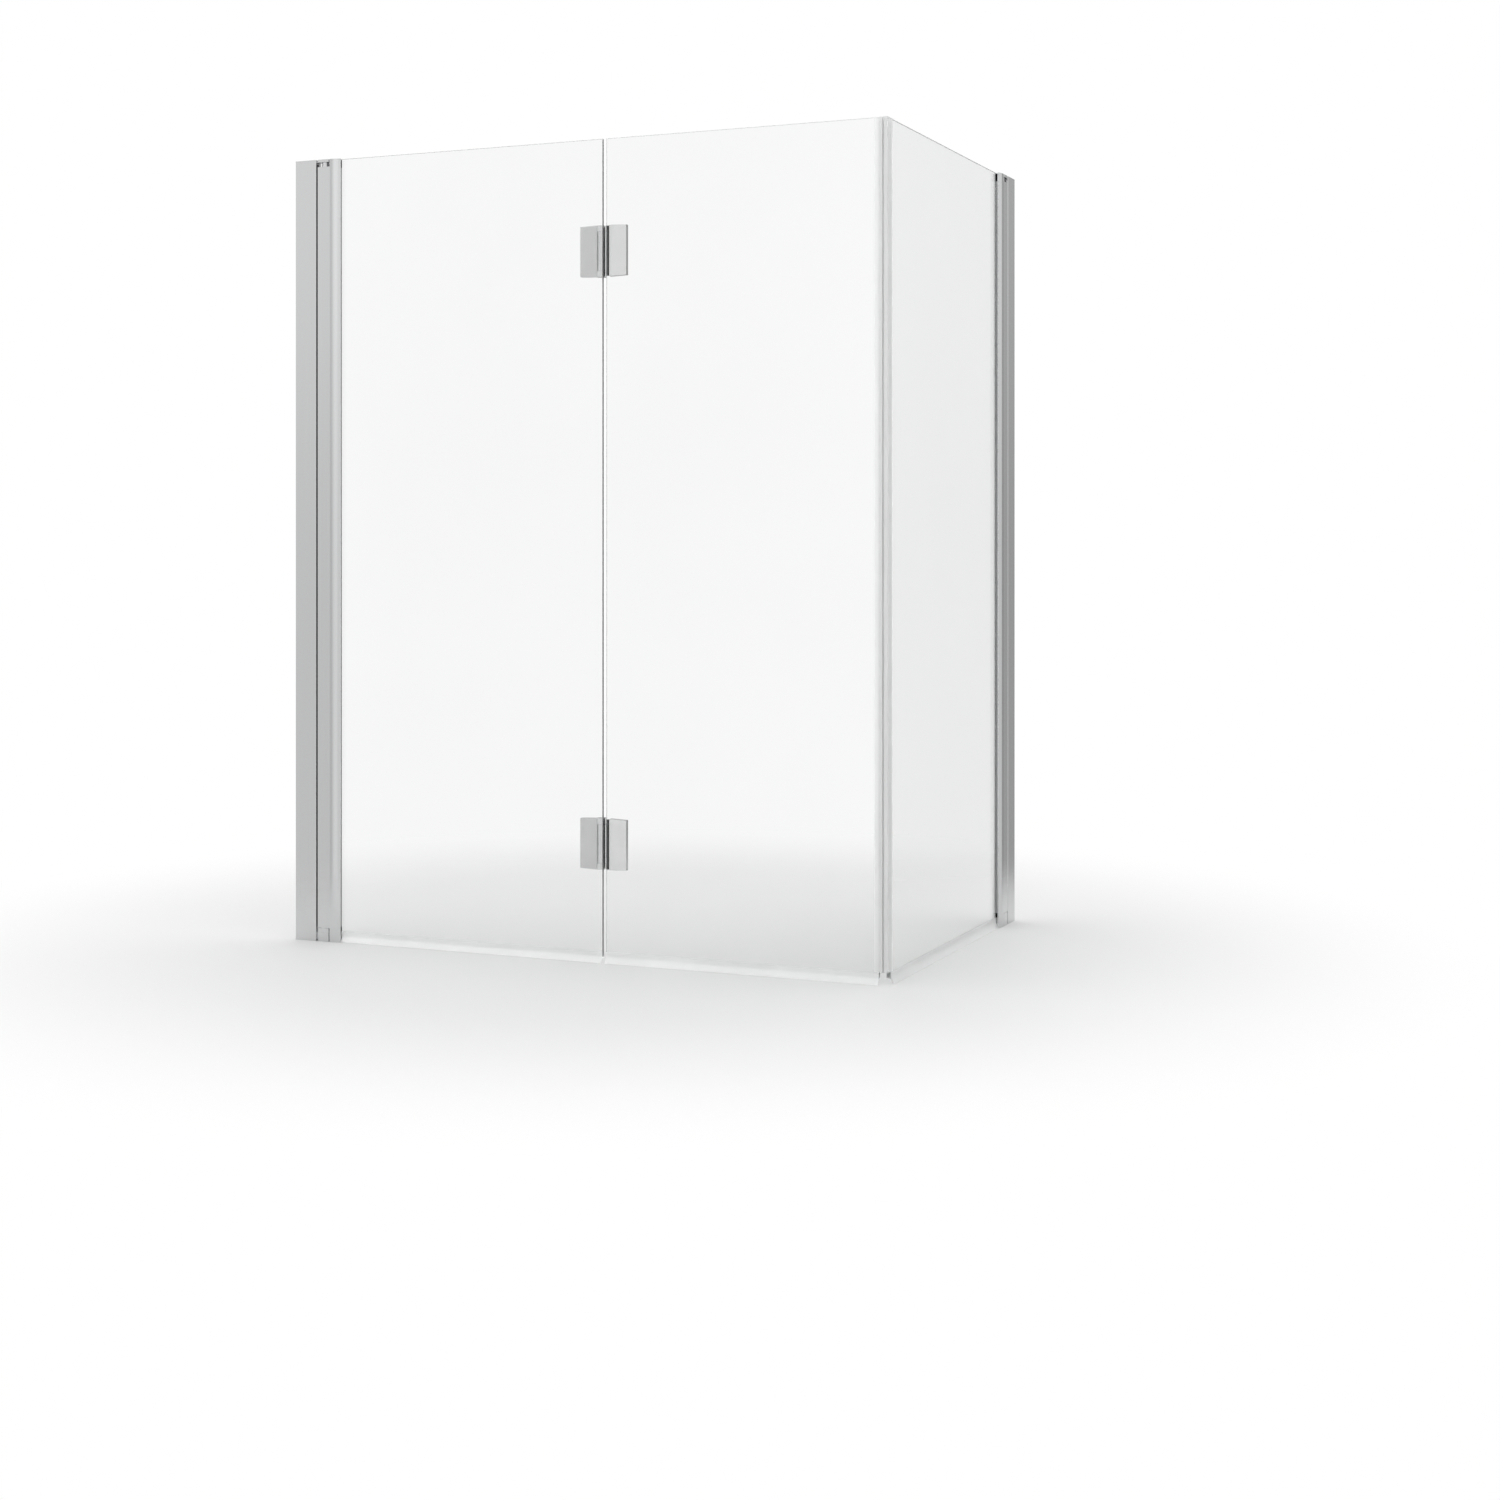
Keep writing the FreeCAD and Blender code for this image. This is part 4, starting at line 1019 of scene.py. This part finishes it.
class SCREEN_OT_pivot_profiles(bpy.types.Operator):
    """Model the turning profiles with their glazing groove, notches and end caps"""

    bl_idname = "bath_screen.pivot_profiles"
    bl_label = "Pivot profiles"

    def execute(self, context):
        axis = AXES["front_swing"]
        low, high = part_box("left_pivot_profile")
        half = high.y
        radius = axis.x - low.x
        reach = math.sqrt(radius ** 2 - half ** 2)
        notch_x = axis.x + NOTCH_REACH
        bottom = low.z

        corners = [
            (axis.x - reach, -half, bottom),
            *nose_corners(bottom, grooved=True),
            (axis.x - reach, half, bottom),
            ((axis.x, axis.y, bottom), 2 * math.atan2(half, reach), ARC_STEPS),
        ]
        profile = draw_outline("left_pivot_piece", corners, (0.0, 0.0, high.z - bottom))
        foot, head = (corner.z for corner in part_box("left_pivot_bushes"))
        above = high.z + OVERRUN
        notch_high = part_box("left_top_pivot_pin")[1].z - NOTCH_DROP
        cutters = [
            add_box("notch_low", (0.0, -CUTTER_HALF, bottom - OVERRUN),
                    (notch_x, CUTTER_HALF, foot)),
            add_box("window", (0.0, -CUTTER_HALF, head), (notch_x, half - WINDOW_WALL, above)),
            add_box("notch_high", (0.0, -CUTTER_HALF, notch_high), (notch_x, CUTTER_HALF, above)),
        ]
        combine(profile, cutters, "DIFFERENCE")
        bores = [
            add_rod("bush_bore", axis.x, axis.y, BUSH_BORE_RADIUS, start, stop)
            for start, stop in (
                (foot - BUSH_BORE_OVERRUN, foot + BUSH_BORE_DEPTH),
                (head - BUSH_BORE_DEPTH, head + BUSH_BORE_OVERRUN),
            )
        ]
        combine(profile, bores, "DIFFERENCE")
        ease(profile, PIVOT_EDGE, segments=3, angle=PIVOT_EASE_ANGLE)
        both_posts(profile, "pivot_profile", "satin_aluminium")

        glass_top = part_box("front_inner_glass")[1].z
        for end, level, top in (("top", high.z, glass_top), ("bottom", 0.0, bottom)):
            corners = [*nose_corners(level, grooved=end == "top"), (notch_x, half, level)]
            cap = draw_outline(f"left_pivot_{end}_cap_piece", corners, (0.0, 0.0, top - level))
            ease(cap, sizes().shut_edge, angle=PIVOT_EASE_ANGLE)
            both_posts(cap, f"pivot_profile_{end}_cap", "satin_aluminium")
        return {"FINISHED"}


class SCREEN_OT_gaskets(bpy.types.Operator):
    """Model the outer glazing gaskets with their rounded lips, and their black plugs"""

    bl_idname = "bath_screen.gaskets"
    bl_label = "Gaskets and plugs"

    def execute(self, context):
        low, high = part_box("left_outer_gasket")
        plug_low, plug_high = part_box("left_gasket_plugs")
        plug_top = plug_low.z + sizes().plug_height
        for name, node, material, rounding, runs in (
            ("left_gasket_piece", "outer_gasket", "grey_gasket", GASKET_LIP,
             ((low.z, plug_low.z), (plug_top, high.z))),
            ("left_plugs_piece", "gasket_plugs", "black_rubber", PLUG_LIP,
             ((plug_low.z, plug_top), (high.z, plug_high.z))),
        ):
            lengths = []
            for start, stop in runs:
                length = add_box(name, (low.x, low.y, start), (high.x, high.y, stop))
                round_upright(length, high.x, rounding)
                ease(length, 0.0)
                lengths.append(length)
            both_posts(join(lengths), node, material)
        return {"FINISHED"}


# Glass and what is clipped to it


class SCREEN_OT_glass(bpy.types.Operator):
    """Model the glass panels with their ground edges"""

    bl_idname = "bath_screen.glass"
    bl_label = "Glass panels"

    def execute(self, context):
        for node in ("front_inner_glass", "front_outer_glass", "side_glass"):
            pane = add_box(f"{node}_pane", *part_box(node))
            bpy.ops.mesh.select_all(action="SELECT")
            bevel(sizes().arris, 1)
            ease(pane, 0.0)
            broad = 0 if node == "side_glass" else 1
            edge = pane.data.attributes.new("ground_edge", "FLOAT", "CORNER")
            for face in pane.data.polygons:
                for corner in face.loop_indices:
                    edge.data[corner].value = 0.0 if abs(face.normal[broad]) > ALONG else 1.0
            finish(pane, node, "clear_glass")
        return {"FINISHED"}


class SCREEN_OT_corner_strips(bpy.types.Operator):
    """Model the two magnetic strips of the corner with their bars"""

    bl_idname = "bath_screen.corner_strips"
    bl_label = "Corner strips"

    def execute(self, context):
        for strip_node, glass_node, bar_node in (
            ("front_corner_strip", "front_outer_glass", "front_corner_magnet"),
            ("side_corner_strip", "side_glass", "side_corner_magnet"),
        ):
            low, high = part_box(strip_node)
            glass_low, glass_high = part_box(glass_node)
            bar_low, bar_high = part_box(bar_node)
            strip = add_box(f"{strip_node}_piece", low, high)
            hair = Vector((CLEAR_HAIR, CLEAR_HAIR, 0.0))
            slot_low, slot_high = glass_low - hair, glass_high + hair
            slot_low.z, slot_high.z = low.z - OVERRUN, high.z + OVERRUN
            if strip_node == "front_corner_strip":
                slot_low.x = low.x - OVERRUN
            else:
                slot_high.y = high.y + OVERRUN
            room = Vector((MAGNET_ROOM, MAGNET_ROOM, OVERRUN))
            cutters = [
                add_box("slot", slot_low, slot_high),
                add_box("chamber", bar_low - room, bar_high + room),
            ]
            combine(strip, cutters, "DIFFERENCE")
            ease(strip, sizes().fine_edge)
            finish(strip, strip_node, "clear_plastic")

            bar = add_box(f"{bar_node}_piece", bar_low, bar_high)
            pick(bar, "EDGE", lambda middle, way: abs(way.z) > ALONG)
            bevel(MAGNET_EDGE, 2)
            ease(bar, 0.0)
            finish(bar, bar_node, "magnet_bar")
        return {"FINISHED"}


def seal_outline(glass_outer, glass_inner, glass_bottom, low, high, outwards):
    """Section of a seal as (depth, height): a clip round the glass edge and a lip that flares
    outwards."""
    wall = outwards * sizes().seal_wall
    lip = outwards * LIP_WALL
    glass_outer += outwards * CLEAR_HAIR
    glass_inner -= outwards * CLEAR_HAIR
    glass_bottom -= CLEAR_HAIR
    outer_wall = glass_outer + wall
    inner_wall = glass_inner - wall
    clip_bottom = glass_bottom - SEAL_FLOOR
    tip = outer_wall + outwards * LIP_FLARE
    return [
        (outer_wall, high), (glass_outer, high), (glass_outer, glass_bottom),
        (glass_inner, glass_bottom), (glass_inner, high), (inner_wall, high),
        (inner_wall, clip_bottom), (outer_wall - lip, clip_bottom), (tip - lip, low),
        (tip, low), (outer_wall, clip_bottom + LIP_WALL),
    ]


class SCREEN_OT_seals(bpy.types.Operator):
    """Model the clip-on seals under the glass with their wiper lips"""

    bl_idname = "bath_screen.seals"
    bl_label = "Seals"

    def execute(self, context):
        for node, glass_node in (
            ("front_inner_seal", "front_inner_glass"),
            ("front_outer_seal", "front_outer_glass"),
            ("side_seal", "side_glass"),
        ):
            low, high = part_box(node)
            glass_low, glass_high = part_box(glass_node)
            if node == "side_seal":
                section = seal_outline(glass_high.x, glass_low.x, glass_low.z, low.z, high.z, 1)
                corners = [(depth, low.y, height) for depth, height in section]
                sweep = (0.0, high.y - low.y, 0.0)
            else:
                section = seal_outline(glass_low.y, glass_high.y, glass_low.z, low.z, high.z, -1)
                corners = [(low.x, depth, height) for depth, height in section]
                sweep = (high.x - low.x, 0.0, 0.0)
            seal = draw_outline(f"{node}_piece", corners, sweep)
            ease(seal, SEAL_EDGE)
            finish(seal, node, "seal_plastic")
        return {"FINISHED"}


# Hinges


def hinge_leaf(name, near, far, low, high):
    """A leaf plate: flat on the glass, its long inner edges rounded and its ends falling away."""
    plate = add_box(name, (min(near, far), low.y, low.z), (max(near, far), high.y, high.z))
    middle_z = (low.z + high.z) / 2
    for sign in (-1, 1):
        pick(plate, "EDGE", lambda middle, way: abs(way.y) > ALONG and abs(middle.x - far) < NEAR
             and (middle.z - middle_z) * sign > 0)
        bpy.ops.transform.translate(value=(0.0, 0.0, -sign * LEAF_TAPER))
    pick(plate, "EDGE", lambda middle, way: abs(way.z) > ALONG and middle.y > high.y - NEAR)
    bevel(sizes().leaf_corner, LEAF_CORNER_STEPS)
    return plate


def finish_narrow_faces(leaf):
    """Gives the ends and the free side of a hinge leaf darker copies of the chrome, chosen by the
    way each face points: painted shade.
    """
    side = max(corner[0] for corner in leaf.bound_box) - LEAF_SIDE
    leaf.data.materials.append(surface("leaf_side"))
    leaf.data.materials.append(surface("leaf_end"))
    for face in leaf.data.polygons:
        if abs(face.normal.z) > FACING:
            face.material_index = 2
        elif face.normal.x > FACING and face.center.x > side:
            face.material_index = 1


class SCREEN_OT_hinges(bpy.types.Operator):
    """Model the lower folding hinge and copy it up the glass"""

    bl_idname = "bath_screen.hinges"
    bl_label = "Folding hinges"

    def execute(self, context):
        fold = AXES["front_fold"]
        fixed_low, fixed_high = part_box("lower_hinge_fixed_leaf")
        moving_low, moving_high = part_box("lower_hinge_moving_leaf")
        sleeve_low, sleeve_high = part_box("lower_hinge_sleeve")
        bond_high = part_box("fixed_leaf_bonds")[1]
        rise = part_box("upper_hinge_fixed_leaf")[0].z - fixed_low.z
        leaf_front = bond_high.y + LEAF_THICKNESS
        radius = fixed_high.x - fold.x
        lug_end = sleeve_low.z - KNUCKLE_GAP
        lug_start = sleeve_high.z + KNUCKLE_GAP

        low = Vector((fixed_low.x, bond_high.y, fixed_low.z))
        high = Vector((bond_high.x + LEAF_MARGIN, leaf_front, fixed_high.z))
        fixed = hinge_leaf("lower_fixed_leaf_piece", high.x, low.x, low, high)
        scoop = add_rod("scoop", fold.x, fold.y, radius + KNUCKLE_GAP, lug_end, lug_start)
        combine(fixed, [scoop], "DIFFERENCE")
        lugs = []
        for start, stop in ((fixed_low.z, lug_end), (lug_start, fixed_high.z)):
            lug = add_rod("lug", fold.x, fold.y, radius, start, stop)
            root = add_box("lug_root", (high.x - LAP, fold.y - radius, start),
                           (fold.x, leaf_front, stop))
            combine(lug, [root], "UNION")
            lugs.append(lug)
        combine(fixed, lugs, "UNION")
        hole = add_rod("pin_hole", fold.x, fold.y, HINGE_PIN_RADIUS + HINGE_PIN_ROOM,
                       fixed_low.z - OVERRUN, fixed_high.z + OVERRUN)
        combine(fixed, [hole], "DIFFERENCE")
        ease(fixed, LEAF_EDGE, angle=LEAF_EASE_ANGLE)

        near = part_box("moving_leaf_bonds")[0].x - LEAF_MARGIN
        low = Vector((near, bond_high.y, moving_low.z))
        high = Vector((moving_high.x, leaf_front, moving_high.z))
        moving = hinge_leaf("lower_moving_leaf_piece", near, high.x, low, high)
        knuckle = add_rod("knuckle", fold.x, fold.y, radius, sleeve_low.z, sleeve_high.z)
        web = add_box("web", (fold.x, leaf_front - WEB_DEPTH, sleeve_low.z),
                      (near + LAP, leaf_front, sleeve_high.z))
        combine(knuckle, [web], "UNION")
        combine(moving, [knuckle], "UNION")
        bore = add_rod("bore", fold.x, fold.y, SLEEVE_RADIUS,
                       sleeve_low.z - OVERRUN, sleeve_high.z + OVERRUN)
        combine(moving, [bore], "DIFFERENCE")
        ease(moving, LEAF_EDGE, angle=LEAF_EASE_ANGLE)

        pin_low, pin_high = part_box("lower_hinge_pin")
        pin = add_rod("lower_hinge_pin_piece", fold.x, fold.y, HINGE_PIN_RADIUS,
                      pin_low.z, pin_high.z, sides=HINGE_PIN_SIDES)
        pick(pin, "EDGE", lambda middle, way: abs(way.z) < ACROSS)
        bevel(HINGE_PIN_EDGE, 2)
        ease(pin, 0.0)

        for piece, node, material in (
            (fixed, "hinge_fixed_leaf", "chrome"),
            (moving, "hinge_moving_leaf", "chrome"),
            (pin, "hinge_pin", "steel"),
        ):
            upper = moved_copy(piece, piece.name.replace("lower", "upper"), (0.0, 0.0, rise))
            for part, end in ((piece, "lower"), (upper, "upper")):
                finish(part, f"{end}_{node}", material)
                if material == "chrome":
                    finish_narrow_faces(part)

        for node, edge, material in (
            ("hinge_buffers", BUFFER_EDGE, "black_rubber"),
            # The bonds are painted with the leaves' faces: painted shade on the fixed ones, a
            # painted reflection on the moving ones.
            ("fixed_leaf_bonds", BOND_EDGE, "fixed_bond"),
            ("moving_leaf_bonds", BOND_EDGE, "moving_bond"),
        ):
            low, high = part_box(node)
            block = add_box(f"{node}_piece", (low.x, low.y + BOND_HAIR, low.z),
                            (high.x, high.y, high.z - rise))
            bpy.ops.mesh.select_all(action="SELECT")
            bevel(edge, 2)
            ease(block, 0.0)
            upper = moved_copy(block, "upper_block", (0.0, 0.0, rise))
            finish(join([block, upper]), node, material)
        return {"FINISHED"}


# Stage


def soft_lamp():
    """A square lamp over the screen that shines straight down."""
    deselect()
    bpy.ops.object.light_add(type="AREA", location=LAMP_PLACE)
    lamp = bpy.context.object
    lamp.name = "overhead"
    lamp.data.shape = "RECTANGLE"
    lamp.data.size = lamp.data.size_y = LAMP_SIDE
    lamp.data.energy = LAMP_LEVEL * LAMP_SIDE * LAMP_SIDE * math.pi
    lamp.visible_camera = False


def studio_world():
    """White for the camera and behind glass. For the rest, a studio: soft screens in front with
    a narrow gap between them, a dimmer back that is darkest on the right, a brighter ceiling."""
    world = bpy.data.worlds.new("Studio")
    bpy.context.scene.world = world
    world.use_nodes = True
    nodes, links = world.node_tree.nodes, world.node_tree.links
    studio = nodes["Background"]
    place = nodes.new("ShaderNodeTexCoord")
    facing = nodes.new("ShaderNodeVectorMath")
    facing.operation = "MULTIPLY"
    facing.inputs[1].default_value = (1.0, -1.0, 1.0)
    split = nodes.new("ShaderNodeSeparateXYZ")
    turn = nodes.new("ShaderNodeMath")
    turn.operation = "ARCTAN2"
    along = nodes.new("ShaderNodeMapRange")
    along.inputs["From Min"].default_value = -math.pi
    along.inputs["From Max"].default_value = math.pi
    ramp = nodes.new("ShaderNodeValToRGB")
    stops = ramp.color_ramp.elements
    for number, (degrees, level) in enumerate(STUDIO_LEVELS):
        position = (degrees + 180.0) / 360.0
        stop = stops[number] if number < 2 else stops.new(position)
        stop.position = position
        stop.color = (level, level, level, 1.0)
    horizon = soft_step(nodes, -0.02, 0.15)
    horizon.inputs["To Min"].default_value = 0.84
    horizon.inputs["To Max"].default_value = 1.02
    dimmed = nodes.new("ShaderNodeVectorMath")
    dimmed.operation = "SCALE"
    rise = soft_step(nodes, 0.25, 0.7)
    ceiling = nodes.new("ShaderNodeMix")
    ceiling.data_type = "RGBA"
    ceiling.inputs[7].default_value = (CEILING_LEVEL, CEILING_LEVEL, CEILING_LEVEL, 1.0)
    white = nodes.new("ShaderNodeBackground")
    mix = nodes.new("ShaderNodeMixShader")
    links.new(place.outputs["Generated"], facing.inputs[0])
    links.new(facing.outputs[0], split.inputs[0])
    links.new(split.outputs["X"], turn.inputs[0])
    links.new(split.outputs["Y"], turn.inputs[1])
    links.new(turn.outputs[0], along.inputs["Value"])
    links.new(along.outputs["Result"], ramp.inputs["Fac"])
    links.new(split.outputs["Z"], rise.inputs["Value"])
    links.new(rise.outputs["Result"], ceiling.inputs[0])
    links.new(split.outputs["Z"], horizon.inputs["Value"])
    links.new(ramp.outputs["Color"], dimmed.inputs[0])
    links.new(horizon.outputs["Result"], dimmed.inputs["Scale"])
    links.new(dimmed.outputs[0], ceiling.inputs[6])
    links.new(ceiling.outputs[2], studio.inputs["Color"])
    white.inputs["Color"].default_value = (1.0, 1.0, 1.0, 1.0)
    links.new(white_for_camera(nodes, links), mix.inputs[0])
    links.new(studio.outputs[0], mix.inputs[1])
    links.new(white.outputs[0], mix.inputs[2])
    links.new(mix.outputs[0], nodes["World Output"].inputs["Surface"])


class SCREEN_OT_stage(bpy.types.Operator):
    """Set the pale floor, the soft lamp, the world and the camera"""

    bl_idname = "bath_screen.stage"
    bl_label = "Stage"

    def execute(self, context):
        deselect()
        bpy.ops.mesh.primitive_circle_add(vertices=FLOOR_SIDES, radius=FLOOR_RADIUS,
                                          fill_type="NGON", location=SCREEN_MIDDLE)
        floor = settle_primitive("floor")
        leave_edit_mode()
        floor.data.materials.append(surface("pale_floor"))

        soft_lamp()
        studio_world()

        deselect()
        bpy.ops.object.camera_add(location=CAMERA_PLACE, rotation=(math.pi / 2, 0.0, CAMERA_TURN))
        camera = bpy.context.object
        camera.data.lens = CAMERA_LENS
        camera.data.sensor_width = CAMERA_SENSOR
        camera.data.shift_y = CAMERA_SHIFT
        camera.data.clip_start, camera.data.clip_end = CAMERA_RANGE
        context.scene.camera = camera
        context.scene.view_settings.view_transform = "Standard"
        return {"FINISHED"}


OPERATORS = (
    SCREEN_OT_finishes,
    SCREEN_OT_wall_profiles,
    SCREEN_OT_arms,
    SCREEN_OT_screws,
    SCREEN_OT_pivot_profiles,
    SCREEN_OT_gaskets,
    SCREEN_OT_glass,
    SCREEN_OT_corner_strips,
    SCREEN_OT_seals,
    SCREEN_OT_hinges,
    SCREEN_OT_stage,
)


class SCREEN_PT_panel(bpy.types.Panel):
    """Sizes, colours and pieces of the bath screen"""

    bl_idname = "SCREEN_PT_panel"
    bl_label = "Bath Screen"
    bl_space_type = "VIEW_3D"
    bl_region_type = "UI"
    bl_category = "Bath Screen"

    def draw(self, context):
        layout = self.layout
        for group in (context.scene.bath_screen_sizes, context.scene.bath_screen_colours):
            column = layout.column(align=True)
            for name in group.__annotations__:
                column.prop(group, name)
        column = layout.column(align=True)
        for operator in OPERATORS:
            column.operator(operator.bl_idname)


CLASSES = (ScreenSizes, ScreenColours, *OPERATORS, SCREEN_PT_panel)


def register():
    for item in CLASSES:
        bpy.utils.register_class(item)
    bpy.types.Scene.bath_screen_sizes = bpy.props.PointerProperty(type=ScreenSizes)
    bpy.types.Scene.bath_screen_colours = bpy.props.PointerProperty(type=ScreenColours)


def unregister():
    del bpy.types.Scene.bath_screen_colours
    del bpy.types.Scene.bath_screen_sizes
    for item in reversed(CLASSES):
        bpy.utils.unregister_class(item)


def main():
    register()
    for operator in OPERATORS:
        category, name = operator.bl_idname.split(".")
        getattr(getattr(bpy.ops, category), name)()


if __name__ == "__main__":
    main()
